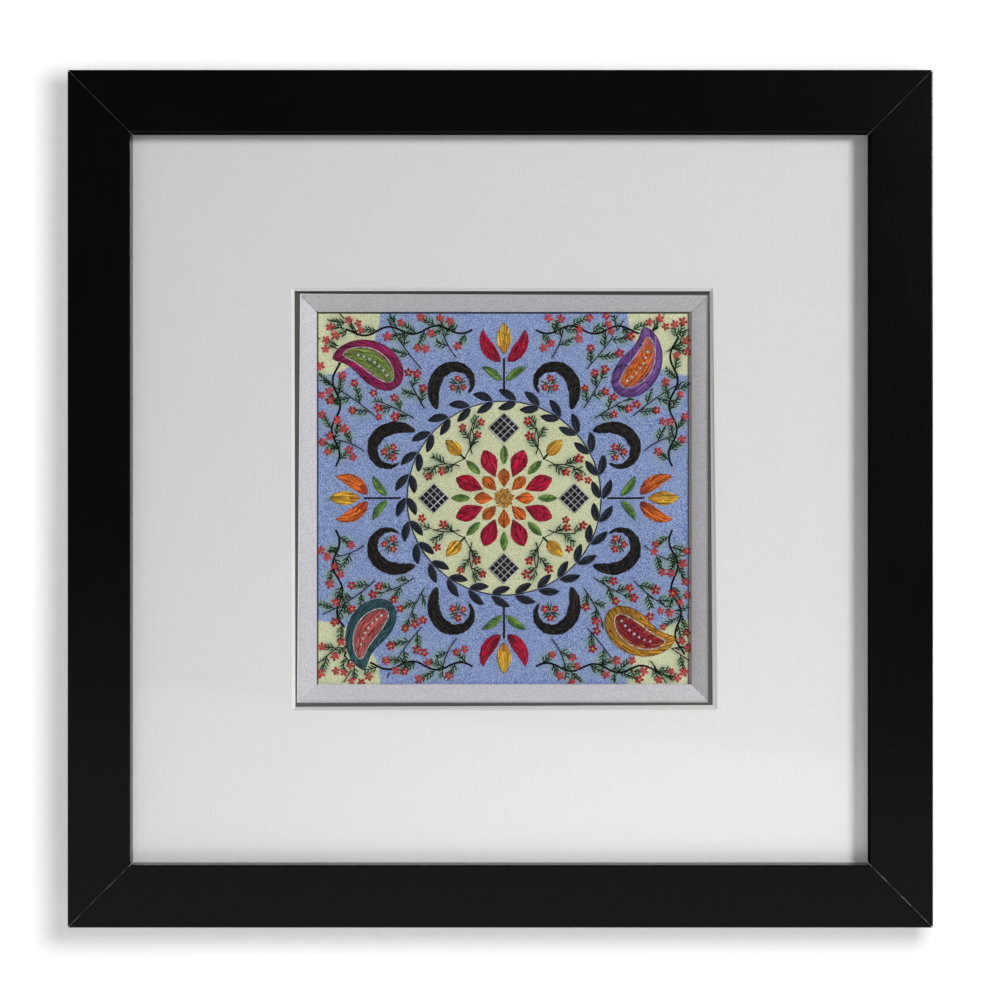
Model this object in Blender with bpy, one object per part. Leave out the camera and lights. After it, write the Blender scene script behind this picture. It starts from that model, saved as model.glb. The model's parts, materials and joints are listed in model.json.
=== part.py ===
"""Framed hand embroidery: four mitred mouldings hold a glass, two window mats, a sloping slip, the stitched cloth
and a back board. The picture hangs on a wall at y = 0 and faces -Y, with X across it and Z up."""

import math

import bmesh
import bpy
from mathutils import Matrix

MM = 0.001

# Driving dimensions of the frame, in metres
FRAME_WIDTH = 400 * MM
FRAME_HEIGHT = 396.5 * MM
FRAME_DEPTH = 28 * MM
FACE_WIDTH = 29 * MM
LIP_THICK = 7 * MM
REBATE_WIDTH = 6 * MM
ARRIS_RADIUS = 0.6 * MM

# Sheets behind the lip, from front to back
GLASS_THICK = 2 * MM
MAT_THICK = 1.4 * MM
CLOTH_THICK = 1.4 * MM
SEAT_GAP = 0.3 * MM
EDGE_PLAY = 0.5 * MM
WELD_DISTANCE = 0.01 * MM
CUTTER_OVERRUN = 1.0

# The slip: its sight opening is the embroidery that shows
SIGHT_CENTRE_X = 1.8 * MM
SIGHT_CENTRE_Z = 0.3 * MM
SIGHT_WIDTH = 176.8 * MM
SIGHT_HEIGHT = 175.7 * MM
SLIP_NOSE = 2 * MM
SLIP_SLOPE_WIDTH = 9 * MM
SLIP_SLOPE_DEPTH = 5 * MM
SLIP_ROUNDING = 0.35
SLIP_FACETS = 6
SLIP_LAND = 7 * MM
CLOTH_MARGIN = 13 * MM

# Stitched relief on the cloth
RELIEF_HEIGHT = 0.7 * MM
RELIEF_ROOT = 0.5 * MM
SPINE_CURL = 1.5
SPINE_STEPS = 40
BLADE_ROUNDING = 0.75
LONG_BLADE = 30
SHORT_BLADE_STEPS = 6
LONG_BLADE_STEPS = 12

# Corners of each window as it was cut, in millimetres from the frame's centre, with the width of its bevel there
CREAM_WINDOW = (
    # x, z at the back of the bevel, bevel width
    (-96.2, 97.1, 1.4),
    (97.9, 97.0, 1.4),
    (99.3, -96.4, 2.1),
    (-95.8, -97.3, 1.5),
)
CHARCOAL_WINDOW = (
    # x, z at the back of the bevel, bevel width
    (-93.1, 95.4, 0.5),
    (96.5, 94.6, 0.5),
    (96.7, -94.8, 0.5),
    (-94.6, -94.9, 0.5),
)

# Petals, leaves, scrolls and paisleys of the ornament, in millimetres and degrees from its middle
BLADES = (
    # copies, first angle, angle aside, root radius, heading, length, width, bend, belly, paired
    (8, 0.0, 0.0, 5.0, 0.0, 9.2, 5.6, 0.0, 0.60, False),  # inner petals of the rosette
    (8, 22.5, 0.0, 10.6, 0.0, 14.0, 7.8, 0.0, 0.58, False),  # its outer petals
    (8, 0.0, 0.0, 16.2, 0.0, 9.0, 3.8, 0.0, 0.50, False),  # leaves between them
    (26, 0.0, 0.0, 46.6, 58.0, 9.8, 4.0, 22.0, 0.50, False),  # outer leaves of the wreath
    (26, 0.0, 0.0, 45.0, 116.0, 8.8, 3.8, -8.0, 0.50, False),  # its inner leaves
    (4, 45.0, 0.0, 29.0, 0.0, 10.0, 6.0, 0.0, 0.40, False),  # buds inside the wreath
    (4, 0.0, 0.0, 68.0, 0.0, 15.0, 6.6, 0.0, 0.48, False),  # hearts of the tulips
    (4, 0.0, 1.5, 64.6, 50.0, 18.0, 6.2, -58.0, 0.42, True),  # their side petals
    (4, 0.0, 1.4, 55.5, 42.0, 11.5, 4.0, 30.0, 0.45, True),  # their leaves
    (4, 45.0, 8.0, 52.5, 16.0, 45.0, 6.0, 250.0, 0.34, True),  # scrolls beside each corner
    (4, 45.0, 0.0, 73.0, -18.0, 37.0, 19.0, 95.0, 0.36, False),  # paisleys in the corners
)
LOZENGES = 4
LOZENGE_RADIUS = 33.2
LOZENGE_HALF = 7.4
HEART_RADIUS = 4.2
HEART_POINTS = 16

# Depths from the wall plane, worked out from the front of the frame towards the wall
LIP_BACK = -FRAME_DEPTH + LIP_THICK
GLASS_FRONT = LIP_BACK + SEAT_GAP
CREAM_FRONT = GLASS_FRONT + GLASS_THICK + SEAT_GAP
CHARCOAL_FRONT = CREAM_FRONT + MAT_THICK + SEAT_GAP
SLIP_FRONT = CHARCOAL_FRONT + MAT_THICK + SEAT_GAP
SLIP_BACK = SLIP_FRONT + SLIP_SLOPE_DEPTH + SLIP_NOSE
CLOTH_FRONT = SLIP_BACK + SEAT_GAP
BOARD_FRONT = CLOTH_FRONT + CLOTH_THICK + SEAT_GAP

SHEET_WIDTH = FRAME_WIDTH - 2 * (FACE_WIDTH - REBATE_WIDTH + EDGE_PLAY)
SHEET_HEIGHT = FRAME_HEIGHT - 2 * (FACE_WIDTH - REBATE_WIDTH + EDGE_PLAY)


def clear_scene():
    for obj in list(bpy.data.objects):
        bpy.data.objects.remove(obj, do_unlink=True)


def new_collection(name):
    collection = bpy.data.collections.new(name)
    bpy.context.scene.collection.children.link(collection)
    return collection


def make_material(name, colour, roughness, metallic=0.0):
    material = bpy.data.materials.new(name)
    material.use_nodes = True
    shader = material.node_tree.nodes["Principled BSDF"]
    shader.inputs["Base Color"].default_value = (*colour, 1.0)
    shader.inputs["Roughness"].default_value = roughness
    shader.inputs["Metallic"].default_value = metallic
    material.diffuse_color = (*colour, 1.0)
    return material


def add_object(bm, name, collection, material=None):
    bmesh.ops.recalc_face_normals(bm, faces=bm.faces)
    mesh = bpy.data.meshes.new(name)
    bm.to_mesh(mesh)
    bm.free()
    obj = bpy.data.objects.new(name, mesh)
    collection.objects.link(obj)
    if material is not None:
        mesh.materials.append(material)
    return obj


def sheet_mesh(width, height, front, thick, centre=(0.0, 0.0)):
    """A flat board that stands upright, its front at the given depth."""
    bm = bmesh.new()
    place = Matrix.Translation((centre[0], front + thick / 2, centre[1]))
    size = Matrix.Diagonal((width, thick, height, 1.0))
    bmesh.ops.create_cube(bm, size=1.0, matrix=place @ size)
    return bm


def arc(centre, radius, start, steps=3):
    """A quarter turn of a rounded edge, clockwise from the start angle."""
    turns = [math.radians(start - 90 * i / steps) for i in range(steps + 1)]
    return [(centre[0] + radius * math.cos(a), centre[1] + radius * math.sin(a)) for a in turns]


def moulding_profile():
    """Section of the moulding as (distance out from the sight edge, depth), with its two front edges rounded."""
    r = ARRIS_RADIUS
    front = -FRAME_DEPTH
    inner_edge = arc((r, front + r), r, 270)
    outer_edge = arc((FACE_WIDTH - r, front + r), r, 0)
    back = [(FACE_WIDTH, 0.0), (REBATE_WIDTH, 0.0), (REBATE_WIDTH, LIP_BACK), (0.0, LIP_BACK)]
    return inner_edge + back[::-1] + outer_edge


def slip_profile():
    """Section of the slip: a low nose at the cloth, a rounded slope up to the mat, and a land that the mat rests on."""
    outer = SLIP_SLOPE_WIDTH + SLIP_LAND
    slope = []
    for i in range(SLIP_FACETS + 1):
        inward = 1 - i / SLIP_FACETS
        fall = SLIP_SLOPE_DEPTH * inward * (1 - SLIP_ROUNDING + SLIP_ROUNDING * inward)
        slope.append((SLIP_SLOPE_WIDTH * (1 - inward), SLIP_FRONT + fall))
    return [(0.0, SLIP_BACK), *slope, (outer, SLIP_FRONT), (outer, SLIP_BACK)]


def mitred_rail(profile, half_length, half_across):
    """One rail along X above the opening. Its profile is drawn out, then each point slides on to the mitre planes."""
    bm = bmesh.new()
    points = [bm.verts.new((0.0, depth, half_across + out)) for out, depth in profile]
    end = bm.faces.new(points)
    drawn = bmesh.ops.extrude_face_region(bm, geom=[end])
    far = [item for item in drawn["geom"] if isinstance(item, bmesh.types.BMVert)]
    bmesh.ops.translate(bm, verts=far, vec=(1.0, 0.0, 0.0))
    joint_play = SEAT_GAP / math.sqrt(2)
    for vert in bm.verts:
        reach = half_length + (vert.co.z - half_across) - joint_play
        vert.co.x = (2 * vert.co.x - 1) * reach
    return bm


def build_rails(prefix, profile, opening, centre, collection, material):
    """Four rails round an opening, each turned to its side."""
    half_x, half_z = opening[0] / 2, opening[1] / 2
    sides = (
        # side, half length, half distance across, turn about Y
        ("top", half_x, half_z, 0),
        ("right", half_z, half_x, 90),
        ("bottom", half_x, half_z, 180),
        ("left", half_z, half_x, 270),
    )
    for side, half_length, half_across, turn in sides:
        bm = mitred_rail(profile, half_length, half_across)
        rail = add_object(bm, f"{prefix}_{side}", collection, material)
        rail.location = (centre[0], 0.0, centre[1])
        rail.rotation_euler = (0.0, math.radians(turn), 0.0)


def window_cutter(name, corners, front, collection):
    """The wedge that a bevel cutter takes out of a mat: its sides run outwards from back to front."""
    bm = bmesh.new()
    rings = []
    for share in (-CUTTER_OVERRUN, 1 + CUTTER_OVERRUN):
        ring = []
        for x, z, bevel in corners:
            point = ((x + math.copysign(bevel, x) * share) * MM, (z + math.copysign(bevel, z) * share) * MM)
            depth = front + MAT_THICK * (1 - share)
            ring.append(bm.verts.new((point[0], depth, point[1])))
        rings.append(ring)
    for i, corner in enumerate(rings[0]):
        after = (i + 1) % len(rings[0])
        bm.faces.new((corner, rings[0][after], rings[1][after], rings[1][i]))
    for ring in rings:
        bm.faces.new(ring)
    cutter = add_object(bm, name, collection)
    cutter.hide_render = True
    cutter.display_type = "WIRE"
    return cutter


def add_boolean(obj, other, operation):
    modifier = obj.modifiers.new(operation.lower(), "BOOLEAN")
    modifier.operation = operation
    modifier.object = other
    modifier.solver = "EXACT"


def build_mat(name, corners, front, collection, cutters, material):
    mat = add_object(sheet_mesh(SHEET_WIDTH, SHEET_HEIGHT, front, MAT_THICK), name, collection, material)
    add_boolean(mat, window_cutter(f"{name}_window", corners, front, cutters), "DIFFERENCE")


def spine_point(length, bend, share):
    """Where a blade's spine is after a share of its length, and how far it has turned there."""
    u = v = 0.0
    steps = max(1, math.ceil(SPINE_STEPS * share))
    for i in range(steps):
        turned = bend * (share * (i + 0.5) / steps) ** SPINE_CURL
        u += math.cos(turned) * length * share / steps
        v += math.sin(turned) * length * share / steps
    return u, v, bend * share**SPINE_CURL


def blade_outline(length, width, bend, belly):
    """Outline of a petal, leaf, scroll or paisley from its root: widest at belly, a share of its length."""
    steps = SHORT_BLADE_STEPS if length < LONG_BLADE else LONG_BLADE_STEPS
    power = math.log(0.5) / math.log(belly)
    left, right = [], []
    for i in range(steps + 1):
        share = (1 - math.cos(math.pi * i / steps)) / 2
        u, v, turned = spine_point(length, bend, share)
        half = width / 2 * max(0.0, math.sin(math.pi * share**power)) ** BLADE_ROUNDING
        left.append((u - half * math.sin(turned), v + half * math.cos(turned)))
        right.append((u + half * math.sin(turned), v - half * math.cos(turned)))
    return left + right[-2:0:-1]


def placed(outline, angle, root, heading):
    """The outline with its root on a circle round the ornament's middle, turned by heading from straight outwards."""
    turn = angle + heading
    return [
        (
            math.cos(angle) * root + math.cos(turn) * u - math.sin(turn) * v,
            math.sin(angle) * root + math.sin(turn) * u + math.cos(turn) * v,
        )
        for u, v in outline
    ]


def ornament_outlines():
    """Every raised patch of satin stitch on the cloth, in millimetres from the middle of the sight opening."""
    outlines = []
    for copies, first, aside, root, heading, length, width, bend, belly, paired in BLADES:
        for copy in range(copies):
            for hand in (1, -1) if paired else (1,):
                outline = blade_outline(length, width, hand * math.radians(bend), belly)
                angle = math.radians(first + 360 * copy / copies + hand * aside)
                outlines.append(placed(outline, angle, root, hand * math.radians(heading)))
    for i in range(LOZENGES):
        angle = 2 * math.pi * i / LOZENGES
        corners = [(LOZENGE_HALF, 0.0), (0.0, LOZENGE_HALF), (-LOZENGE_HALF, 0.0), (0.0, -LOZENGE_HALF)]
        outlines.append(placed(corners, angle, LOZENGE_RADIUS, 0.0))
    turns = [2 * math.pi * i / HEART_POINTS for i in range(HEART_POINTS)]
    outlines.append([(HEART_RADIUS * math.cos(a), HEART_RADIUS * math.sin(a)) for a in turns])
    return outlines


def build_relief(collection):
    """All the raised patches as one flat curve with depth, made a mesh so that the cloth can be joined to it."""
    curve = bpy.data.curves.new("stitched_patches", "CURVE")
    curve.dimensions = "2D"
    curve.fill_mode = "BOTH"
    curve.extrude = (RELIEF_HEIGHT + RELIEF_ROOT) / 2
    for outline in ornament_outlines():
        spline = curve.splines.new("POLY")
        spline.points.add(len(outline) - 1)
        for point, (u, v) in zip(spline.points, outline):
            point.co = (u * MM, v * MM, 0.0, 1.0)
        spline.use_cyclic_u = True
    drawn = bpy.data.objects.new("stitched_patches_curve", curve)
    collection.objects.link(drawn)
    middle = CLOTH_FRONT + RELIEF_ROOT - curve.extrude
    drawn.matrix_world = Matrix.Translation((SIGHT_CENTRE_X, middle, SIGHT_CENTRE_Z)) @ Matrix.Rotation(
        math.radians(90), 4, "X"
    )
    bpy.context.view_layer.update()
    evaluated = drawn.evaluated_get(bpy.context.evaluated_depsgraph_get())
    mesh = bpy.data.meshes.new_from_object(evaluated)
    bm = bmesh.new()
    bm.from_mesh(mesh)
    bmesh.ops.remove_doubles(bm, verts=bm.verts, dist=WELD_DISTANCE)
    relief = add_object(bm, "stitched_patches", collection)
    relief.matrix_world = drawn.matrix_world.copy()
    relief.hide_render = True
    relief.display_type = "WIRE"
    bpy.data.meshes.remove(mesh)
    bpy.data.objects.remove(drawn, do_unlink=True)
    return relief


def build_cloth(collection, cutters, material):
    width = SIGHT_WIDTH + 2 * CLOTH_MARGIN
    height = SIGHT_HEIGHT + 2 * CLOTH_MARGIN
    bm = sheet_mesh(width, height, CLOTH_FRONT, CLOTH_THICK, (SIGHT_CENTRE_X, SIGHT_CENTRE_Z))
    cloth = add_object(bm, "embroidered_cloth", collection, material)
    add_boolean(cloth, build_relief(cutters), "UNION")


def main():
    clear_scene()
    parts = new_collection("framed_embroidery")
    cutters = new_collection("cutters")
    opening = (FRAME_WIDTH - 2 * FACE_WIDTH, FRAME_HEIGHT - 2 * FACE_WIDTH)
    black = make_material("black_lacquer", (0.008, 0.008, 0.009), 0.45)
    build_rails("frame", moulding_profile(), opening, (0.0, 0.0), parts, black)
    clear = make_material("clear_glass", (0.9, 0.93, 0.92), 0.02)
    add_object(sheet_mesh(SHEET_WIDTH, SHEET_HEIGHT, GLASS_FRONT, GLASS_THICK), "glass", parts, clear)
    cream = make_material("cream_card", (0.78, 0.76, 0.73), 0.9)
    build_mat("mat_cream", CREAM_WINDOW, CREAM_FRONT, parts, cutters, cream)
    charcoal = make_material("charcoal_card", (0.07, 0.07, 0.072), 0.9)
    build_mat("mat_charcoal", CHARCOAL_WINDOW, CHARCOAL_FRONT, parts, cutters, charcoal)
    linen = make_material("slip_linen", (0.62, 0.61, 0.62), 0.85)
    sight_centre = (SIGHT_CENTRE_X, SIGHT_CENTRE_Z)
    build_rails("slip", slip_profile(), (SIGHT_WIDTH, SIGHT_HEIGHT), sight_centre, parts, linen)
    crepe = make_material("blue_crepe", (0.21, 0.29, 0.52), 0.9)
    build_cloth(parts, cutters, crepe)
    brown = make_material("back_board", (0.28, 0.18, 0.11), 0.85)
    add_object(sheet_mesh(SHEET_WIDTH, SHEET_HEIGHT, BOARD_FRONT, -BOARD_FRONT), "back_board", parts, brown)


main()
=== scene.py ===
# %% [markdown]
# # A framed hand embroidery, finished for rendering
#
# The imported model already has the frame, the glass, two mats, the slip, the cloth and the back board at their real
# size. This lesson gives each of them its finish. Then it does what a needleworker does: it stretches a painted cloth
# and covers it with some fourteen thousand single stitches.
#
# Loading comes first, because every later piece is placed from the model. The box that the model fills is kept, so
# that the last cell can print it.

# %% Load the imported model
import json
import math
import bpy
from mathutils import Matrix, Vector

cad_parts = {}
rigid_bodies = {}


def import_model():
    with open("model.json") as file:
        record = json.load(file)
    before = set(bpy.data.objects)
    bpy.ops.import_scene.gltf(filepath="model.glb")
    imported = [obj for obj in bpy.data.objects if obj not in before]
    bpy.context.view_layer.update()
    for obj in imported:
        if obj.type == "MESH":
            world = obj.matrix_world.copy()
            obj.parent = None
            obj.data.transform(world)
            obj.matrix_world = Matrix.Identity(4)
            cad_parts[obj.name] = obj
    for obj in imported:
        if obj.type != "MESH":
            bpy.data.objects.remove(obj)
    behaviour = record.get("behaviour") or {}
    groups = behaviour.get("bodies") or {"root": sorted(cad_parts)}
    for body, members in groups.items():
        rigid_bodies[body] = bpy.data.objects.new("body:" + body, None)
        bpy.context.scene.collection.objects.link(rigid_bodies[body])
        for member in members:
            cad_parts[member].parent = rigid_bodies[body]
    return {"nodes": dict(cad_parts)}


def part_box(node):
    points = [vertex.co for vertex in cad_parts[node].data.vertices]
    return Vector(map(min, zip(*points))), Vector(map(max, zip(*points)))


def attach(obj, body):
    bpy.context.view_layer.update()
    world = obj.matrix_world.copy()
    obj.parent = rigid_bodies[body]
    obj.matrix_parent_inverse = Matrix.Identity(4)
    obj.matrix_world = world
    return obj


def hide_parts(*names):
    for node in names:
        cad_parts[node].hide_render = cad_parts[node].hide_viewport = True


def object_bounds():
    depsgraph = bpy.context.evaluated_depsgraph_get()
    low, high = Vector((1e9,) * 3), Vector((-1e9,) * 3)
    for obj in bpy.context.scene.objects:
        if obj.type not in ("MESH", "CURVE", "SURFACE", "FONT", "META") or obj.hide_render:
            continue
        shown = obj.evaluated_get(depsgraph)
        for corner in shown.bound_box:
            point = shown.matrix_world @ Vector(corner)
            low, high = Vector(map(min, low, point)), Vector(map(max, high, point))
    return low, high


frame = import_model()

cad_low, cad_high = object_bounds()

from copy import copy as twin

import bpy
import numpy as np
from mathutils import Vector

print("pieces in the model:", ", ".join(sorted(frame["nodes"])))

# %% [markdown]
# ## Measures that the model gives
#
# A framer measures the opening before the needlework is mounted. The four slips around the cloth leave a sight
# opening, and everything stitched is drawn from its middle, in millimetres: u to the right, v upwards, and a height
# out from the cloth. Metres are used only where a mesh is laid down.

# %% The sight opening and the depths
MM = 0.001
CLOTH_THICK = 1.4 * MM

sight_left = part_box("slip_left")[1].x
sight_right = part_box("slip_right")[0].x
sight_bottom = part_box("slip_bottom")[1].z
sight_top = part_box("slip_top")[0].z
middle_x = (sight_left + sight_right) / 2
middle_z = (sight_bottom + sight_top) / 2
half_across = (sight_right - sight_left) / 2 / MM
half_up = (sight_top - sight_bottom) / 2 / MM
cloth_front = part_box("embroidered_cloth")[1].y - CLOTH_THICK
face_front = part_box("frame_top")[0].y

print(f"sight opening {2 * half_across:.1f} x {2 * half_up:.1f} mm, cloth front at {cloth_front / MM:.1f} mm")

# %% [markdown]
# ## Shader sums written as Python
#
# A finish is a small calculation that runs at every point of a surface. Blender draws it as nodes and wires, which are
# hard to read in a script. A class that wraps one socket lets plain Python operators add those nodes, so that
# `1 - mask` or `(grain + weave) * 0.5` says what it does. Numbers use Math nodes and vectors use Vector Math nodes.
# Colours are blended with Mix, because a Math node would turn them grey.


# %% One value inside a finish
class Value:
    """A number, vector or colour on its way through a finish."""

    def __init__(self, finish, socket):
        self.finish = finish
        self.socket = socket

    def reckon(self, operation, *terms):
        kind = "ShaderNodeVectorMath" if self.socket.type == "VECTOR" else "ShaderNodeMath"
        return self.finish.node(kind, {"operation": operation}, dict(enumerate(terms)))

    def __add__(self, other):
        return self.reckon("ADD", self, other)

    def __sub__(self, other):
        return self.reckon("SUBTRACT", self, other)

    def __rsub__(self, other):
        return self.reckon("SUBTRACT", other, self)

    def __mul__(self, other):
        return self.reckon("MULTIPLY", self, other)

    __radd__ = __add__
    __rmul__ = __mul__

    def __truediv__(self, other):
        return self.reckon("DIVIDE", self, other)

    def __abs__(self):
        return self.reckon("ABSOLUTE", self)

    def sine(self):
        return self.reckon("SINE", self)

    def root(self):
        return self.reckon("SQRT", self)

    def smaller(self, other):
        return self.reckon("MINIMUM", self, other)

    def larger(self, other):
        return self.reckon("MAXIMUM", self, other)

    def parts(self):
        """The three numbers of a vector."""
        split = self.finish.node("ShaderNodeSeparateXYZ", {}, {0: self})
        return [Value(self.finish, out) for out in split.socket.node.outputs]

    def rise(self, low, high):
        """Goes softly from 0 where this value is low to 1 where it is high."""
        levels = {"Value": self, "From Min": low, "From Max": high}
        return self.finish.node("ShaderNodeMapRange", {"interpolation_type": "SMOOTHSTEP"}, levels)


# %% [markdown]
# ## A finish is a material under construction
#
# Every finish starts from the same shader. It knows where it is on the object, can mottle itself with noise at a
# real size, can blend two colours and can raise a fine relief. The relief is light and shade alone, so it is kept to
# grain and weave: whatever is thick enough to cast a shadow is a mesh further down.


# %% The node and material builders
class Nodes:
    """A node tree that is added to one node at a time."""

    def __init__(self, tree):
        self.tree = tree

    def join(self, term, socket):
        """Wires a value to a socket, or sets a plain number or colour on it."""
        if isinstance(term, Value):
            self.tree.links.new(term.socket, socket)
        elif socket.type == "VALUE":
            socket.default_value = term
        else:
            spread = tuple(term) if hasattr(term, "__len__") else (term,) * 3
            socket.default_value = (*spread, 1.0) if socket.type == "RGBA" else spread

    def node(self, kind, settings, sockets, output=0):
        made = self.tree.nodes.new(kind)
        for setting, value in settings.items():
            setattr(made, setting, value)
        for socket, term in sockets.items():
            self.join(term, made.inputs[socket])
        return Value(self, made.outputs[output])

    def blend(self, share, first, second):
        """The first colour where share is 0, the second where it is 1."""
        return self.node("ShaderNodeMix", {"data_type": "RGBA"}, {0: share, 6: first, 7: second}, 2)


class Finish(Nodes):
    """A material for one kind of surface."""

    def __init__(self, name, roughness, **constants):
        self.material = bpy.data.materials.new(name)
        self.material.use_nodes = True
        super().__init__(self.material.node_tree)
        self.shader = self.tree.nodes["Principled BSDF"]
        self.shader.inputs["Roughness"].default_value = roughness
        for socket, value in constants.items():
            self.shader.inputs[socket.replace("_", " ")].default_value = value
        self.plain = Value(self, self.shader.outputs[0])
        self.place = self.node("ShaderNodeTexCoord", {}, {}, "Object")

    def mottle(self, size, detail=2.0, where=None):
        """Soft random noise from 0 to 1. Its lumps are about size metres, or a size for each axis."""
        scale = tuple(1 / s for s in size) if hasattr(size, "__len__") else 1 / size
        spot = (where or self.place) * scale
        return self.node("ShaderNodeTexNoise", {}, {"Vector": spot, "Scale": 1.0, "Detail": detail})

    def attribute(self, name, output="Color"):
        """A colour or number that a mesh carries at its points."""
        return self.node("ShaderNodeAttribute", {"attribute_name": name}, {}, output)

    def surface(self, output):
        """A fact about the surface itself, such as where it faces."""
        return self.node("ShaderNodeNewGeometry", {}, {}, output)

    def relief(self, height, depth):
        """A fine bump: height from 0 to 1 stands for a depth in metres."""
        bump = self.node("ShaderNodeBump", {}, {"Height": height, "Distance": depth})
        self.join(bump, self.shader.inputs["Normal"])

    def colour(self, value):
        self.join(value, self.shader.inputs["Base Color"])

    def ends_in(self, share, first, second):
        """Lets a mix of two shaders be the finish: the first where share is 0, the second where it is 1."""
        mix = self.node("ShaderNodeMixShader", {}, {0: share, 1: first, 2: second})
        output = next(n for n in self.tree.nodes if n.type == "OUTPUT_MATERIAL")
        self.join(mix, output.inputs["Surface"])

    def cover(self, *names):
        """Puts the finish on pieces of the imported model, in place of their plain colour."""
        for name in names:
            mesh = frame["nodes"][name].data
            mesh.materials.clear()
            mesh.materials.append(self.material)
        print(f"{self.material.name} on {', '.join(names)}")


def linear(red, green, blue):
    """A colour as it looks on a screen, 0 to 255, in the linear numbers that a shader works with."""
    shares = np.array((red, green, blue)) / 255
    curve = np.where(shares <= 0.04045, shares / 12.92, ((shares + 0.055) / 1.055) ** 2.4)
    return tuple(float(c) for c in curve)


# %% [markdown]
# ## Black lacquer on the mouldings
#
# The frame is a flat wooden moulding under a satin black lacquer. It was sanded along its length, so the faint grain
# runs with each rail, across at the top and bottom and upright at the sides. The finish is made twice, once for each
# direction. Lacquer wears first where hands and cloths catch it, so the arrises are rubbed a little paler. The inner
# edges at the top and right mirror nothing. They face away from the main light, so a dark dull shader is put on them
# in place of the gloss, which is painted shade.

# %% Lacquer for level and upright rails
GRAIN_LENGTH = 22 * MM
GRAIN_WIDTH = 0.45 * MM
WEAR_BEGINS = 0.7 * MM  # in from an arris
WEAR_IS_FULL = 0.1 * MM
FRONT_DEPTH = 1.0 * MM


def black_lacquer(name, upright):
    finish = Finish(name, 0.2, Specular_IOR_Level=0.27)
    streak = (GRAIN_WIDTH, GRAIN_WIDTH, GRAIN_LENGTH) if upright else (GRAIN_LENGTH, GRAIN_WIDTH, GRAIN_WIDTH)
    grain = finish.mottle(streak, 4.0)
    cloud = finish.mottle(35 * MM, 1.0)
    x, y, z = finish.place.parts()
    to_side = abs(x).rise(cad_high.x - WEAR_BEGINS, cad_high.x - WEAR_IS_FULL)
    to_edge = abs(z).rise(cad_high.z - WEAR_BEGINS, cad_high.z - WEAR_IS_FULL)
    on_front = y.rise(cad_low.y + FRONT_DEPTH, cad_low.y + 0.2 * FRONT_DEPTH)
    rubbed = to_side.larger(to_edge) * on_front * finish.mottle(6 * MM, 3.0).rise(0.38, 0.62)
    body = finish.blend(grain * 0.6 + cloud * 0.4, linear(6, 6, 8), linear(12, 11, 14))
    finish.colour(finish.blend(rubbed * 0.6, body, linear(60, 58, 60)))
    finish.join(0.13 + grain * 0.08 + cloud * 0.03, finish.shader.inputs["Roughness"])
    finish.relief(grain, 0.012 * MM)
    # Painted shade: the inner walls at the top and right, away from the key light, get a dark dull shader.
    across, _, up = finish.surface("True Normal").parts()
    under_top = z.rise(0, 1 * MM) * up.rise(-0.5, -0.9)
    inside_right = x.rise(0, 1 * MM) * across.rise(-0.5, -0.9)
    painted_shade_dull = finish.node("ShaderNodeBsdfDiffuse", {}, {"Color": linear(26, 26, 28)})
    finish.ends_in(under_top.larger(inside_right), finish.plain, painted_shade_dull)
    return finish


black_lacquer("lacquer_level", False).cover("frame_top", "frame_bottom")
black_lacquer("lacquer_upright", True).cover("frame_left", "frame_right")

# %% [markdown]
# ## Filler in the mitres
#
# Where two rails meet, a framer rubs wax into the joint. Seen close, each corner has a thin grey line that breaks off
# and starts again, brightest at the lower corners. It could be painted on the lacquer, but a joint has a real gap
# in the model, so the wax is a real strip that lies in it, a hair below the face. The slip's mitres are closed in the
# same way further down, so the strip is a function: it follows any course of points with their depths.

# %% A strip in a mitre
STRIP_WIDTH = 0.298 * MM
STRIP_DEEP = 1.2 * MM
MITRES = (("top_right", 1, 1), ("bottom_right", 1, -1), ("bottom_left", -1, -1), ("top_left", -1, 1))


def plain_mesh(name, points, faces, finish):
    """A mesh from its points and faces, with one finish."""
    mesh = bpy.data.meshes.new(name)
    mesh.from_pydata(points, [], faces)
    mesh.materials.append(finish.material)
    return mesh


def in_scene(name, data):
    """Puts a mesh, a lamp or a camera in the scene."""
    thing = bpy.data.objects.new(name, data)
    bpy.context.scene.collection.objects.link(thing)
    return thing


def mitre_strips(name, middle, course, finish):
    """Four strips that mirror each other. Course is a list of x and z from the middle, with the depth of the front."""
    lean = STRIP_WIDTH / 2 / math.sqrt(2)
    rim = ((lean, -lean, 0), (-lean, lean, 0), (-lean, lean, STRIP_DEEP), (lean, -lean, STRIP_DEEP))
    rings = [(x + a, z + b, y + down) for x, z, y in course for a, b, down in rim]
    last = len(rings) - 4
    bands = [(r + i, r + (i + 1) % 4, r + (i + 1) % 4 + 4, r + i + 4) for r in range(0, last, 4) for i in range(4)]
    faces = bands + [(3, 2, 1, 0), (last, last + 1, last + 2, last + 3)]
    for corner, side, up in MITRES:
        points = [(middle[0] + side * x, y, middle[1] + up * z) for x, z, y in rings]
        turned = [face[::-1] for face in faces] if side * up < 0 else faces
        strip = in_scene(f"{name}_{corner}", plain_mesh(f"{name}_{corner}", points, turned, finish))
        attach(strip, "root")
    print(f"{name}: four strips of {STRIP_WIDTH / MM:.1f} mm")


# %% Wax
FACE_WIDTH = 29 * MM
WAX_SUNK = 0.06 * MM
WAX_INSET = 0.9 * MM


def wax():
    finish = Finish("joint_wax", 0.7, Specular_IOR_Level=0.1)
    x, _, z = finish.place.parts()
    broken = 0.2 + 0.8 * finish.mottle(3.2 * MM, 4.0).rise(0.40, 0.60)
    to_right = x.rise(-190 * MM, 190 * MM)
    # The wax is paler towards the right, and far paler at the lower corners.
    paleness_to_lower_right = 0.2 + 0.08 * to_right + z.rise(190 * MM, -170 * MM) * (0.2 + 0.42 * to_right)
    finish.colour(finish.blend(broken * paleness_to_lower_right, linear(12, 12, 14), linear(140, 141, 144)))
    return finish


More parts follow.
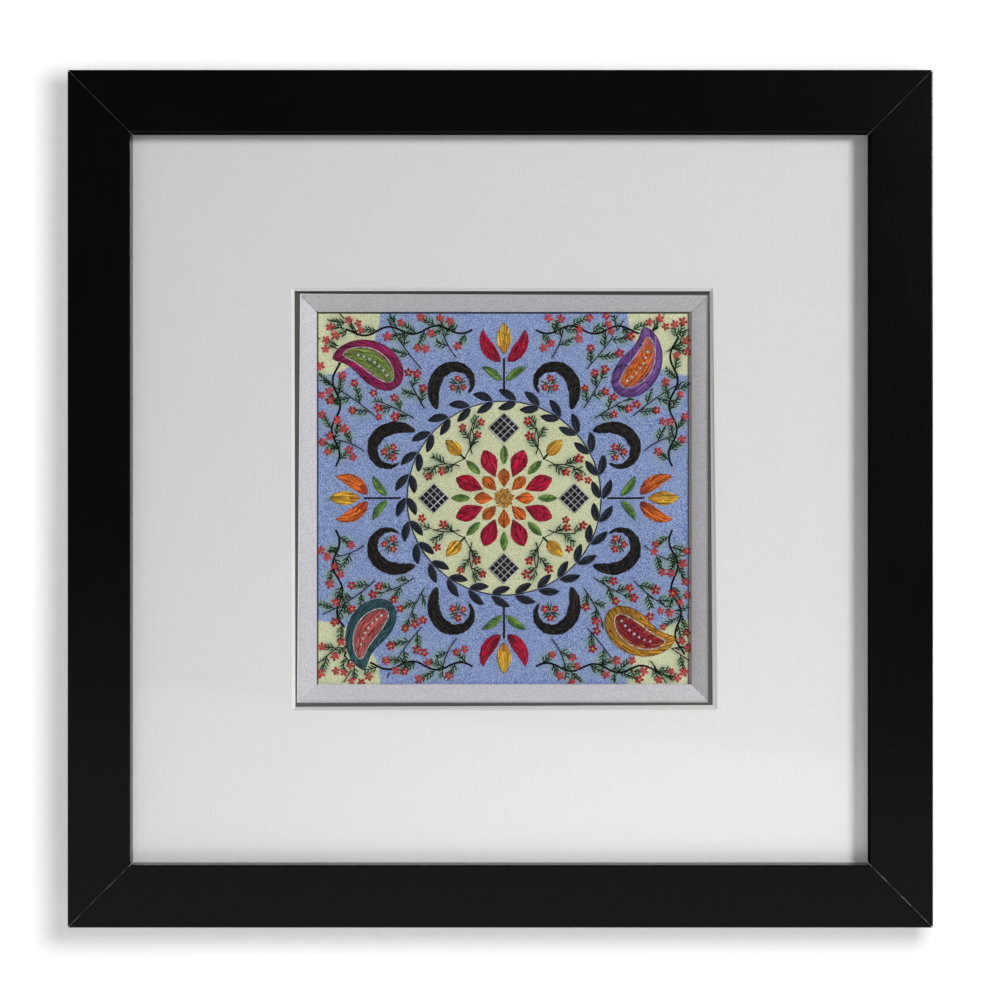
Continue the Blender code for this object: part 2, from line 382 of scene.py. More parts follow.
wax_course = [
    (cad_high.x - inset, cad_high.z - inset, face_front + WAX_SUNK) for inset in (FACE_WIDTH - WAX_INSET, WAX_INSET)
]
mitre_strips("mitre_wax", (0.0, 0.0), wax_course, wax())

# %% [markdown]
# ## Glass
#
# Picture glass is clear and nearly flat. Light passes straight through, and a little is mirrored. A refracting shader
# would be honest but would make every shadow behind it noisy, so the pane lets light through unbent and adds a thin
# gloss whose strength follows the angle, as a real pane's does. The Fresnel node turns its index round on the far side
# of a surface, where a bent ray would be steeper than this unbent one, so the index is turned back there.


# %% The pane
GLASS_INDEX = 1.5


def clear_glass():
    finish = Finish("clear_glass", 0.03)
    through = finish.node("ShaderNodeBsdfTransparent", {}, {"Color": linear(254, 254, 254)})
    gloss = finish.node("ShaderNodeBsdfAnisotropic", {}, {"Color": linear(255, 255, 255), "Roughness": 0.03})
    index = GLASS_INDEX - finish.surface("Backfacing") * (GLASS_INDEX - 1 / GLASS_INDEX)
    finish.ends_in(finish.node("ShaderNodeFresnel", {}, {"IOR": index}), through, gloss)
    finish.tree.nodes.remove(finish.shader)
    return finish


clear_glass().cover("glass")

# %% [markdown]
# ## Two mats
#
# A mat is card with a paper face. The wide one is off-white and has fine upright ribs, like linen-laid paper. The
# knife leans as it cuts the window, so the core shows as a sloping edge. The face of a card points straight out of
# the picture and its bevel doesn't, so the direction of the surface alone tells the paper from the core. The thin
# mat behind is charcoal with the same pale core, and its upper strip has a painted shadow that darkens it towards
# the edge of the wide mat.

# %% Card with a cut edge
RIB_PITCH = 1.35 * MM
RIB_SWAY = 5.0
NO_SHADE = (1.0, 2.0)  # heights above the whole picture
# heights over which the charcoal's upper strip takes its painted shadow
UPPER_STRIP = (95.0 * MM, 96.8 * MM)


def card(name, pale, deep, core, ribs, shade):
    """Card in three colours. Ribs is their strength; shade is two heights over which a painted shadow comes in."""
    finish = Finish(name, 0.88, Specular_IOR_Level=0.25)
    x, _, z = finish.place.parts()
    cut = 1 - abs(finish.surface("True Normal").parts()[1]).rise(0.8, 0.95)
    sway = finish.mottle((3 * MM, 3 * MM, 30 * MM), 1.0)
    rib = (x * (math.tau / RIB_PITCH) + sway * RIB_SWAY).sine() * 0.5 + 0.5
    fibre = finish.mottle((0.35 * MM, 0.35 * MM, 2.2 * MM), 3.0)
    cloud = finish.mottle(45 * MM, 1.0)
    paper = finish.blend(fibre * 0.65 + rib * (0.3 * ribs) + cloud * 0.1, deep, pale)
    # Painted shadow: the paper darkens towards near black between the two shade heights.
    painted_edge_shadow = z.rise(*shade) * 0.75
    paper = finish.blend(painted_edge_shadow, paper, linear(34, 33, 35))
    finish.colour(finish.blend(cut, paper, core))
    finish.relief(fibre * 0.5 + rib * (0.5 * ribs), 0.03 * MM)
    return finish


cream = (linear(239, 237, 239), linear(227, 225, 227), linear(236, 235, 233))
charcoal = (linear(96, 94, 97), linear(80, 79, 82), linear(232, 230, 228))
card("cream_card", *cream, 1.0, NO_SHADE).cover("mat_cream")
card("charcoal_card", *charcoal, 0.2, UPPER_STRIP).cover("mat_charcoal")

# %% [markdown]
# ## The slip's cloth
#
# Each slip is a bevelled strip wrapped in a fine pale cloth. The weave is drawn with two waves that cross: one runs
# along the strip and one across it. Threads are never even, so noise bends the waves and speckles the tone.

# %% Fine plain weave
SLIP_PITCH = 0.46 * MM


def weave(finish, pitch, wander):
    """Crossing threads from 0 to 1 over the face of the picture, a little uneven."""
    x, _, z = finish.place.parts()
    drift = finish.mottle(4 * MM, 2.0) * wander
    across = (x * (math.tau / pitch) + drift).sine()
    upright = (z * (math.tau / pitch) + drift).sine()
    return across * upright * 0.5 + 0.5


def slip_linen():
    finish = Finish("slip_linen", 0.9, Specular_IOR_Level=0.2, Sheen_Weight=0.15)
    threads = weave(finish, SLIP_PITCH, 7.0)
    slub = finish.mottle(0.7 * MM, 2.0).rise(0.38, 0.62)
    tone = threads * 0.3 + slub * 0.7
    finish.colour(finish.blend(tone, linear(206, 205, 210), linear(230, 229, 234)))
    finish.relief(threads * 0.6 + slub * 0.4, 0.03 * MM)
    return finish


linen = slip_linen()
linen.cover("slip_top", "slip_right", "slip_bottom", "slip_left")

# %% Linen tucked into the slip's mitres
SLOPE_WIDTH = 9 * MM
SLOPE_DEPTH = 5 * MM
SLOPE_ROUNDING = 0.35
SEAM_SUNK = 0.14 * MM

slip_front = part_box("slip_top")[0].y
seam_course = []
for out in np.linspace(0.03, 1.1, 9):  # from the nose of the slip to a little under the mat
    inward = max(0.0, 1 - out)
    fall = SLOPE_DEPTH * inward * (1 - SLOPE_ROUNDING + SLOPE_ROUNDING * inward)
    reach = SLOPE_WIDTH * out
    seam_course.append((half_across * MM + reach, half_up * MM + reach, slip_front + fall + SEAM_SUNK))
mitre_strips("slip_seam", (middle_x, middle_z), seam_course, linen)

# %% [markdown]
# ## The back board
#
# The back can't be seen on a wall, so it is plain: a thin board of pressed brown fibre with the flecks that such
# board has.


# %% Pressed fibre
def fibre_board():
    finish = Finish("fibre_board", 0.85)
    fleck = finish.mottle((1.2 * MM, 1.2 * MM, 0.5 * MM), 5.0)
    cloud = finish.mottle(40 * MM, 4.0)
    finish.colour(finish.blend(fleck * 0.6 + cloud * 0.4, linear(98, 74, 52), linear(156, 126, 94)))
    finish.relief(fleck, 0.05 * MM)
    return finish


fibre_board().cover("back_board")

# %% [markdown]
# ## Where the ornament's patches lie
#
# The design is a traditional kind: a rosette in a round wreath, a tulip on each axis, scrolls and paisleys towards the
# corners. Every petal, leaf, scroll and paisley is a blade, which is a bent spine with a width that swells at its
# belly. The cloth in the model has the same blades raised on it as low pads, so the table here uses the same sizes.
# A paired blade has a mirror twin. The last two columns say how each one is stitched.

# %% The table of blades
BLADES = (
    # piece, copies, first angle, angle aside, root radius, heading, length, width, bend, belly, paired, stitch, threads
    ("rosette", 8, 0.0, 0.0, 5.0, 0.0, 9.2, 5.6, 0.0, 0.60, False, "along", "orange"),
    ("rosette", 8, 22.5, 0.0, 10.6, 0.0, 14.0, 7.8, 0.0, 0.58, False, "along", "crimson"),
    ("rosette", 8, 0.0, 0.0, 16.2, 0.0, 9.0, 3.8, 0.0, 0.50, False, "veined", "lime"),
    ("wreath", 26, 0.0, 0.0, 46.6, 58.0, 9.8, 4.0, 22.0, 0.50, False, "veined", "navy"),
    ("wreath", 26, 0.0, 0.0, 45.0, 116.0, 8.8, 3.8, -8.0, 0.50, False, "veined", "navy"),
    ("rosette", 4, 45.0, 0.0, 29.0, 0.0, 10.0, 6.0, 0.0, 0.40, False, "along", "yellow"),
    ("tulips", 4, 0.0, 0.0, 68.0, 0.0, 15.0, 6.6, 0.0, 0.48, False, "along", "yellow"),
    ("tulips", 4, 0.0, 1.5, 64.6, 50.0, 18.0, 6.2, -58.0, 0.42, True, "along", "tulip"),
    ("tulips", 4, 0.0, 1.4, 55.5, 42.0, 11.5, 4.0, 30.0, 0.45, True, "veined", "lime"),
    ("scrolls", 4, 45.0, 8.0, 52.5, 16.0, 45.0, 6.0, 250.0, 0.34, True, "along", "bark"),
    ("paisleys", 4, 45.0, 0.0, 73.0, -18.0, 37.0, 19.0, 95.0, 0.36, False, "nested", "paisley"),
)
SPINE_POINTS = 201
SPINE_CURL = 1.5
BLADE_ROUNDING = 0.75
LOZENGE_RADIUS = 33.2
LOZENGE_HALF = 7.4
HEART_RADIUS = 4.2
WREATH_RADIUS = 45.8


def towards(course):
    """A step of one in the direction of an angle, or one such step for each of many angles."""
    return np.stack((np.cos(course), np.sin(course)), axis=-1)


def left_of(way):
    """A direction turned a quarter to the left, or each of many directions."""
    return np.stack((-way[..., 1], way[..., 0]), axis=-1)


def path_of(start, steps):
    """The points of a path, from its start and its single steps."""
    return start + np.concatenate((np.zeros((1, 2)), np.cumsum(steps, axis=0)))


class Blade:
    """A petal, leaf, scroll or paisley in millimetres from the middle of the cloth."""

    def __init__(self, angle, root, heading, length, width, bend, belly):
        self.length, self.width = length, width
        self.shares = np.linspace(0, 1, SPINE_POINTS)
        between = (self.shares[1:] + self.shares[:-1]) / 2
        turn = angle + heading
        course = turn + bend * between**SPINE_CURL
        self.spine = path_of(root * towards(angle), towards(course) * (length / len(between)))
        self.course = turn + bend * self.shares**SPINE_CURL
        swell = np.sin(math.pi * self.shares ** (math.log(0.5) / math.log(belly)))
        self.half = width / 2 * np.maximum(swell, 0) ** BLADE_ROUNDING

    def at(self, share, aside):
        """The point at a share of the length, so many millimetres to the left of the spine."""
        u, v, course = (np.interp(share, self.shares, line) for line in (*self.spine.T, self.course))
        return np.array((u - aside * np.sin(course), v + aside * np.cos(course)))

    def reach(self, share):
        """Half the width at a share of the length."""
        return np.interp(share, self.shares, self.half)

    def inset(self, narrower, begin, end):
        """A slimmer blade on part of the same spine, round at both ends."""
        inner = twin(self)
        swell = np.sin(math.pi * np.clip((self.shares - begin) / (end - begin), 0, 1))
        inner.half = self.half * narrower * swell**0.3
        inner.width = 2 * inner.half.max()
        return inner

    def outline(self, count=24):
        """Points round the blade, from its root along the left side to the tip and back."""
        wide = self.shares[self.half > 0.001]
        shares = wide[0] + (wide[-1] - wide[0]) * (1 - np.cos(np.linspace(0, math.pi, count))) / 2
        left = self.at(shares, self.reach(shares))
        right = self.at(shares, -self.reach(shares))
        return np.concatenate((left.T, right.T[-2:0:-1]))


def all_blades():
    """Every blade with its piece, its way of stitching, its thread family and its number in its ring."""
    for piece, copies, first, aside, root, heading, length, width, bend, belly, paired, stitch, threads in BLADES:
        for copy in range(copies):
            for hand in (1, -1) if paired else (1,):
                angle = math.radians(first + 360 * copy / copies + hand * aside)
                bent = hand * math.radians(bend)
                blade = Blade(angle, root, hand * math.radians(heading), length, width, bent, belly)
                yield piece, blade, stitch, threads, copy


print(sum(1 for _ in all_blades()), "blades in the ornament")

# %% [markdown]
# ## Thread colours
#
# Real floss is dyed skein by skein, and a needleworker shades a petal by changing skeins near its root. Each family
# below has a main colour and a root colour. Where copies of a motif differ, the family has several pairs, which are
# taken in turn.

# %% The skeins
SKEINS = {
    "orange": (((232, 118, 40), (186, 58, 30)),),
    "crimson": (((196, 12, 62), (116, 6, 34)),),
    "lime": (((128, 164, 76), (70, 116, 62)),),
    "navy": (((38, 48, 64), (16, 21, 32)),),
    "yellow": (((236, 186, 60), (216, 124, 40)),),
    "tulip": (((236, 120, 42), (172, 40, 44)), ((198, 12, 62), (120, 8, 46))),
    "bark": (((42, 33, 27), (11, 9, 8)),),
    "paisley": (
        ((134, 88, 168), (232, 120, 44)),
        ((168, 34, 100), (136, 168, 80)),
        ((54, 98, 108), (214, 104, 98)),
        ((206, 148, 44), (164, 24, 52)),
    ),
    "lattice_ground": (((24, 24, 38), (13, 13, 24)),),
    "white": (((222, 226, 232), (190, 194, 202)),),
    "twig": (((24, 19, 16), (11, 9, 8)),),
    "leaf": (((20, 58, 38), (104, 146, 92)),),
    "red": (((206, 10, 58), (146, 6, 42)),),
    "coral": (((226, 74, 94), (184, 32, 62)),),
    "pistil": (((234, 182, 84), (220, 140, 60)),),
}


def skein(family, copy=0):
    """The main and root colours of a thread family, as linear numbers."""
    pairs = SKEINS[family]
    return [np.array(linear(*shade)) for shade in pairs[copy % len(pairs)]]


print(len(SKEINS), "thread families")

# %% [markdown]
# ## One stitch, thousands of times
#
# A stitch is a short length of thread that comes up through the cloth, lies over it and goes down again. Its mesh is a
# flattened six-sided tube of three rings that ends in a point under the surface. Modifiers could bend a tube along
# each path, but for thousands of them it is quicker to work out all the points of a piece at once with arrays. Each
# point also carries its thread's colour, and the faces carry how far round and along the thread they are, so that the
# finish can draw the twist.

# %% The sewing basket
SIDES = 6
FLATNESS = 0.78
SHOULDER = 0.86  # how far a thread's end rings rise towards its top
DIVE_LENGTH = 0.5
DIVE_SHARE = 0.28
HOLE = -0.12  # height of a thread's end under the cloth
MEETING = 0.2  # height of a thread's end where it meets another inside a patch
SHORTEST = 0.35
EDGE_CLEARANCE = 0.12
TONE_SPREAD = 0.26


class Sewing:
    """The stitches of one piece, gathered as rows and laid down together as one mesh."""

    def __init__(self, name, seed):
        self.name = name
        self.random = np.random.default_rng(seed)
        self.rows = []

    def stitch(self, start, end, colour, thick=0.5, top=0.4, sink=(HOLE, HOLE)):
        """One straight stitch. Top is the height of its middle line, and sink that of its two ends."""
        self.rows.append((*start, *end, *colour, thick, top, *sink))

    def jitter(self, amount):
        """A small chance step, because no needle goes in exactly where it should."""
        return self.random.normal(0.0, amount, 2)

    def trimmed(self):
        """The rows as an array, cut off where they would run in under the slip."""
        rows = np.array(self.rows)
        limit = np.array((half_across, half_up)) - EDGE_CLEARANCE
        start, end = rows[:, 0:2], rows[:, 2:4]
        run = end - start
        safe = np.where(np.abs(run) < 1e-9, 1e-9, run)
        one, other = (-limit - start) / safe, (limit - start) / safe
        enter = np.clip(np.minimum(one, other).max(axis=1), 0, 1)
        leave = np.clip(np.maximum(one, other).min(axis=1), 0, 1)
        rows[:, 0:2] = start + run * enter[:, None]
        rows[:, 2:4] = start + run * leave[:, None]
        long_enough = np.linalg.norm(rows[:, 2:4] - rows[:, 0:2], axis=1) > SHORTEST
        return rows[(leave > enter) & long_enough]

    def lay(self, finish):
        """Makes the piece: all its threads in one mesh, placed on the cloth."""
        rows = self.trimmed()
        count = len(rows)
        start, end, colours = rows[:, 0:2], rows[:, 2:4], rows[:, 4:7]
        thick, top, sink_start, sink_end = rows[:, 7:11].T
        run = end - start
        length = np.linalg.norm(run, axis=1)
        aside = left_of(run) / length[:, None]
        dive = np.minimum(DIVE_LENGTH / length, DIVE_SHARE)
        shares = np.stack((dive, np.full(count, 0.5), 1 - dive), axis=1)
        low = np.stack((sink_start, top, sink_end), axis=1)
        heights = top[:, None] * SHOULDER + low * (1 - SHOULDER)
        angles = np.arange(SIDES) * math.tau / SIDES
        across = thick[:, None] / 2 * np.cos(angles)
        upward = thick[:, None] / 2 * FLATNESS * np.sin(angles)
        ring_middles = start[:, None] + run[:, None] * shares[..., None]
        ring_uv = ring_middles[:, :, None] + aside[:, None, None] * across[:, None, :, None]
        ring_height = heights[:, :, None] + upward[:, None]
        points = np.empty((count, 3 * SIDES + 2, 3))
        points[:, 0, :2], points[:, 0, 2] = start, sink_start
        points[:, 1:-1, :2] = ring_uv.reshape(count, -1, 2)
        points[:, 1:-1, 2] = ring_height.reshape(count, -1)
        points[:, -1, :2], points[:, -1, 2] = end, sink_end
        along = np.concatenate((np.zeros((count, 1)), shares, np.ones((count, 1))), axis=1) * length[:, None]
        tones = colours * self.random.normal(1.0, TONE_SPREAD, (count, 1)).clip(0.5, 1.7)
        return thread_mesh(self.name, points, along, tones, finish)


# %% [markdown]
# The faces are the same for every stitch, so one pattern of corners is worked out once and repeated with an offset. The
# pattern is a bead's: rings of points, closed by a fan at each end. A corner's first texture number goes round the
# thread from 0 to 1, and its second goes along it in millimetres. They belong to corners and not to points, because the
# last face of a ring has to end at 1 where the first began at 0.


# %% Corners of one stitch, and the mesh of many
def bead_faces(sides, rings):
    """Faces of a bead. Each corner is its point's number, its share of the way round, and its ring's number."""
    faces = []
    for j in range(sides):
        here, after = j / sides, (j + 1) / sides
        near = [(1 + j + ring * sides, here, ring + 1) for ring in range(rings)]
        beyond = [(1 + (j + 1) % sides + ring * sides, after, ring + 1) for ring in range(rings)]
        faces.append([(0, (here + after) / 2, 0), beyond[0], near[0]])
        faces += [[near[i], beyond[i], beyond[i + 1], near[i + 1]] for i in range(rings - 1)]
        faces.append([near[-1], beyond[-1], (rings * sides + 1, (here + after) / 2, rings + 1)])
    return faces


def as_arrays(faces):
    """All the corners of some faces in one array, and the number of corners of each face."""
    return np.array([corner for face in faces for corner in face]), np.array([len(face) for face in faces])


THREAD_CORNERS, THREAD_FACES = as_arrays(bead_faces(SIDES, 3))


def repeated(pattern, points_each, count):
    """The points of a pattern's corners, for so many copies of it one after the other."""
    return (np.arange(count)[:, None] * points_each + pattern.astype(int)).ravel()


def on_cloth(points):
    """Metres in the model's frame, from u, v and height in millimetres."""
    u, v, height = np.moveaxis(np.asarray(points, float), -1, 0)
    return np.stack((middle_x + u * MM, cloth_front - height * MM, middle_z + v * MM), axis=-1)


def fill_mesh(name, points, corner_points, face_sizes, finish):
    """A smooth mesh from flat arrays: points, the point of each corner, and the number of corners of each face."""
    mesh = bpy.data.meshes.new(name)
    mesh.vertices.add(len(points))
    mesh.vertices.foreach_set("co", points.astype(np.float32).ravel())
    mesh.loops.add(len(corner_points))
    mesh.loops.foreach_set("vertex_index", corner_points.astype(np.int32))
    mesh.polygons.add(len(face_sizes))
    mesh.polygons.foreach_set("loop_start", np.concatenate(([0], np.cumsum(face_sizes)[:-1])).astype(np.int32))
    mesh.update(calc_edges=True)
    mesh.validate()
    mesh.shade_smooth()
    mesh.materials.append(finish.material)
    return mesh


def tint(mesh, tones):
    """Gives each point of the mesh its thread colour."""
    layer = mesh.attributes.new("thread_colour", "FLOAT_COLOR", "POINT")
    solid = np.concatenate((tones, np.ones((len(tones), 1))), axis=1)
    layer.data.foreach_set("color", solid.astype(np.float32).ravel())


def embroidered(name, mesh):
    """Puts a stitched mesh in the scene, where it moves with the frame."""
    piece = in_scene(name, mesh)
    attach(piece, "root")
    return piece


def thread_mesh(name, points, along, tones, finish):
    """All the threads of a piece in one mesh, with their colours and texture numbers."""
    count, per_stitch = points.shape[:2]
    point, share, ring = THREAD_CORNERS.T
    corner_points = repeated(point, per_stitch, count)
    mesh = fill_mesh(name, on_cloth(points).reshape(-1, 3), corner_points, np.tile(THREAD_FACES, count), finish)
    tint(mesh, np.repeat(tones, per_stitch, axis=0))
    wound = mesh.uv_layers.new(name="wound")
    numbers = np.empty((count, len(share), 2), np.float32)
    numbers[..., 0] = share
    numbers[..., 1] = along[:, ring.astype(int)]
    wound.data.foreach_set("uv", numbers.ravel())
    print(f"{name}: {count} stitches, {count * (THREAD_FACES - 2).sum()} triangles")
    return embroidered(name, mesh)


# %% [markdown]
# ## The look of floss
#
# Floss is two plies twisted together. The twist shows as fine slanting lines, which the relief draws from how far
# round and how far along the thread a point is. The colour is also darker in the grooves between the plies, which is
# painted shade. Silky floss for satin stitch is glossier than the thin thread of the twigs, so the finish takes its
# roughness and its shine as numbers.

# %% Twisted thread
TWIST_PITCH = 0.9


def floss(name, roughness, shine):
    finish = Finish(name, roughness, Specular_IOR_Level=shine, Sheen_Weight=shine / 4)
    around, along, _ = finish.node("ShaderNodeTexCoord", {}, {}, "UV").parts()
    ply = ((around * 2 + along / TWIST_PITCH) * math.tau).sine() * 0.5 + 0.5
    fuzz = finish.mottle(0.22 * MM, 2.0)
    own = finish.attribute("thread_colour")
    # The ply term paints shade into the grooves between the plies; the fuzz term is a random tone.
    tone = 0.64 + ply * 0.34 + fuzz * 0.2
    grey = finish.node("ShaderNodeCombineXYZ", {}, {0: tone, 1: tone, 2: tone})
    multiply = {"data_type": "RGBA", "blend_type": "MULTIPLY"}
    finish.colour(finish.node("ShaderNodeMix", multiply, {0: 1.0, 6: own, 7: grey}, 2))
    finish.relief(ply * 0.8 + fuzz * 0.4, 0.045 * MM)
    return finish


silk = floss("silk_floss", 0.38, 0.28)
cotton = floss("cotton_thread", 0.6, 0.1)

# %% [markdown]
# ## Ways of filling a patch
#
# Satin stitch lays threads side by side. On a long patch the needle can't span from end to end, so the threads are
# broken in staggered lengths, and each length runs a little way back over the last. Leaves are stitched between their
# edge and a middle vein, to one side and the other in turn. Threads lie higher in the middle of a patch, which gives it
# a soft crown. Floss catches the light unevenly, so every lane of threads has a tone of its own.

# %% Satin the long way, with the root shaded
PITCH = 0.6
LONGEST = 5.2
STAGGER = 0.35
SATIN_THICK = 0.6
SATIN_JITTER = 0.1
CROWN_LOW = 0.24
CROWN_HIGH = 0.48
OVERLAP = 0.8
TUCK = 0.16
SPARE_EDGE = 0.9
ROOT_SHADE = 0.42
LANE_SPREAD = 0.2


def lanes(width):
    """Distances from the middle line of threads laid side by side over a width."""
    count = max(2, round(width / PITCH))
    return (np.arange(count) + 0.5 - count / 2) * width / count


def crown(share):
    """Height of a thread that lies a share of the way from the middle to the edge."""
    return CROWN_LOW + (CROWN_HIGH - CROWN_LOW) * (1 - min(1.0, abs(share)) ** 2)


def fill_along(sewing, blade, main, root, longest=LONGEST, pick=None, lift=0.0, spare=None):
    """Fills a blade the long way, in stitches no longer than longest. None is laid well under the spare blade."""
    spread = lanes(blade.width)
    for lane, gloss in zip(spread, sewing.random.normal(1, LANE_SPREAD, len(spread)).clip(0.5, 1.6)):
        under = blade.shares[blade.half > abs(lane) + 0.02]
        if len(under) < 3:
            continue
        first, last = under[0], under[-1]
        count = max(1, math.ceil((last - first) * blade.length / longest))
        inner = (np.arange(1, count) + sewing.random.uniform(-STAGGER, STAGGER, count - 1)) / count
        cuts = first + (last - first) * np.concatenate(([0], inner, [1]))
        top = lift + crown(lane / (blade.width / 2)) + sewing.random.normal(0, 0.02)
        for i, (begin, end) in enumerate(zip(cuts[:-1], cuts[1:])):
            if spare is not None and min(spare.reach(begin), spare.reach(end)) > abs(lane) + SPARE_EDGE:
                continue
            begin = begin - (OVERLAP * sewing.random.uniform(0.3, 1) / blade.length if i else 0)
            sink = (top - TUCK if i else HOLE, top - TUCK if i < count - 1 else HOLE)
            wander = sewing.random.normal(0, 0.05)
            deep = np.clip(1 - (begin + end) / 2 / ROOT_SHADE + sewing.random.normal(0, 0.16), 0, 1)
            colour = (main + (root - main) * (pick() if pick else deep)) * gloss
            ends = blade.at(begin, lane + wander), blade.at(end, lane - wander)
            ends = [spot + sewing.jitter(SATIN_JITTER) for spot in ends]
            sewing.stitch(*ends, colour, SATIN_THICK, top, sink)


# %% Leaves with a middle vein
VEIN_LEAD = 1.25
VEIN_CROSSING = 0.15
VEINED_TOP = 0.34
NARROWEST = 0.25
SIDE_SHADES = {1: 0.15, -1: 0.85}  # one half of a leaf is lighter, and one darker


def fill_veined(sewing, blade, main, root):
    """Fills a leaf in slanting stitches from its edge to just over the middle vein."""
    steps = max(4, round(blade.length / PITCH))
    for i in range(steps):
        share = (i + 0.6) / (steps + 0.4)
        reach = float(blade.reach(share))
        if reach < NARROWEST:
            continue
        lead = min(share, (reach * VEIN_LEAD) / blade.length)
        for side, shade in SIDE_SHADES.items():
            outer = blade.at(share, side * (reach + sewing.random.normal(0, 0.06)))
            inner = blade.at(share - lead, -side * VEIN_CROSSING)
            top = VEINED_TOP + sewing.random.normal(0, 0.02)
            colour = main + (root - main) * np.clip(shade + sewing.random.normal(0, 0.25), 0, 1)
            sewing.stitch(outer, inner, colour, SATIN_THICK, top, (HOLE, MEETING))


# %% [markdown]
# Lines are worked in stem stitch: short stitches that each start halfway along the last, so the line looks like a fine
# rope. The same few lines draw twigs, tendrils, the wreath's ring and the outlines of the paisleys.

# %% Stem stitch along any path
STEM_LENGTH = 2.3
STEM_THICK = 0.5
STEM_TOP = 0.17
STEM_ADVANCE = 0.55
STEM_SHARE = 0.92
STEM_LEAN = 0.16
STEM_JITTER = 0.04
ROW_PITCH = 0.8


def walk(path, step):
    """Points a step apart along a line of points, with its end."""
    path = np.asarray(path, float)
    gone = np.concatenate(([0], np.cumsum(np.linalg.norm(np.diff(path, axis=0), axis=1))))
    places = np.linspace(0, gone[-1], max(2, round(gone[-1] / step) + 1))
    return np.stack([np.interp(places, gone, line) for line in path.T], axis=1)


def stem_stitch(sewing, path, colours, thick=STEM_THICK, top=STEM_TOP, length=STEM_LENGTH, rows=1):
    """Works a line in rows side by side. Each stitch takes a shade between the two colours."""
    points = walk(path, length * STEM_ADVANCE)
    for row in range(rows):
        shift = (row - (rows - 1) / 2) * thick * ROW_PITCH
        for i, near in enumerate(points[:-1]):
            far = points[min(i + 2, len(points) - 1)]
            ahead = (far - near) / max(1e-6, np.linalg.norm(far - near))
            square, lean = left_of(ahead), thick * STEM_LEAN
            ends = near + square * (shift - lean), near + (far - near) * STEM_SHARE + square * (shift + lean)
            colour = colours[0] + (colours[1] - colours[0]) * sewing.random.uniform(0, 1)
            ends = [spot + sewing.jitter(STEM_JITTER) for spot in ends]
            sewing.stitch(*ends, colour, thick, top)


# %% [markdown]
# ## Rosette, wreath, tulips and scrolls
#
# Now the table does the work. A paisley is nested: its heart is a second, slimmer blade on the same spine, stitched
# over a gap that the border leaves for it. A pale line in stem stitch covers the change, and a dark one the rim. Bark
# is worked with several needles at once, so the scrolls' light and dark threads lie mixed.

# %% Stitch every blade
BLADE_PIECES = ("rosette", "wreath", "tulips", "scrolls", "paisleys")
BARK_SHADES = (0.0, 0.5, 0.85, 1.0)
HEART_WIDTH = 0.58
HEART_SPAN = (0.1, 0.86)
sewings = {name: Sewing(name, 11 + i) for i, name in enumerate(BLADE_PIECES)}
streaks = np.random.default_rng(19)
patches = []


def rim(blade, count=24):
    """A closed line round a blade, with a little more so that its ends overlap."""
    points = blade.outline(count)
    return np.concatenate((points, points[:2]))


for piece, blade, stitch, threads, copy in all_blades():
    sewing = sewings[piece]
    main, root = skein(threads, copy)
    patches.append(blade.outline())
    if piece == "scrolls":
        fill_along(sewing, blade, main, root, longest=4.2, pick=lambda: streaks.choice(BARK_SHADES))
    elif stitch == "along":
        fill_along(sewing, blade, main, root)
    elif stitch == "veined":
        fill_veined(sewing, blade, main, root)
    else:
        heart = blade.inset(HEART_WIDTH, *HEART_SPAN)
        fill_along(sewing, blade, main, main * 0.7, longest=4.6, spare=heart)
        fill_along(sewing, heart, root, root * 0.75, longest=3.8, lift=0.14)
        stem_stitch(sewing, rim(blade), [main * 0.45, main * 0.6], top=0.3)
        stem_stitch(sewing, rim(heart, 30), skein("white"), thick=0.42, top=0.72, length=1.8)
print(sum(len(s.rows) for s in sewings.values()), "stitches in the blades")


# %% [markdown]
# Satin stitch lies on an underlay of padding stitches, which lifts it and closes the gaps that show between threads.
# The padding is coloured a dark tone of its thread, which is painted shade in the gaps between the threads. Each pad
# is a low loft along the blade's spine: both edges, a raised middle and a sunk middle, closed at the ends.


# %% Pads under the satin
PAD_HEIGHTS = {"along": 0.24, "nested": 0.24, "veined": 0.12}
PAD_EDGE = 0.06
PAD_FOOT = -0.1
PAD_INSET = 0.08
PAD_SHADE = 0.34
LONG_BLADE = 30


class Pads:
    """Low pads gathered into one mesh."""

    def __init__(self):
        self.points, self.faces, self.tones = [], [], []

    def add(self, middles, squares, halves, height, colour):
        """One pad, from the points of its middle line, the directions square to it, and half its width at each."""
        first, rings = len(self.points), len(middles)
        for middle, square, half in zip(middles, squares, halves):
            edge = square * max(half - PAD_INSET, 0.02)
            swell = height * min(1.0, half / 1.2)
            self.points += [(*(middle + edge), PAD_EDGE), (*middle, swell)]
            self.points += [(*(middle - edge), PAD_EDGE), (*middle, PAD_FOOT)]
        for ring in range(rings - 1):
            for i in range(4):
                near, beyond = first + 4 * ring + i, first + 4 * ring + (i + 1) % 4
                self.faces.append((near, beyond, beyond + 4, near + 4))
        last = first + 4 * (rings - 1)
        self.faces += [(first + 3, first + 2, first + 1, first), (last, last + 1, last + 2, last + 3)]
        # Painted shade: the pad takes a dark tone of its thread's colour, for the shade between threads.
        self.tones += [colour * PAD_SHADE] * (4 * rings)

    def lay(self, name, finish):
        corner_points = np.array(self.faces).ravel()
        mesh = fill_mesh(name, on_cloth(np.array(self.points)), corner_points, np.full(len(self.faces), 4), finish)
        tint(mesh, np.array(self.tones))
        return embroidered(name, mesh)


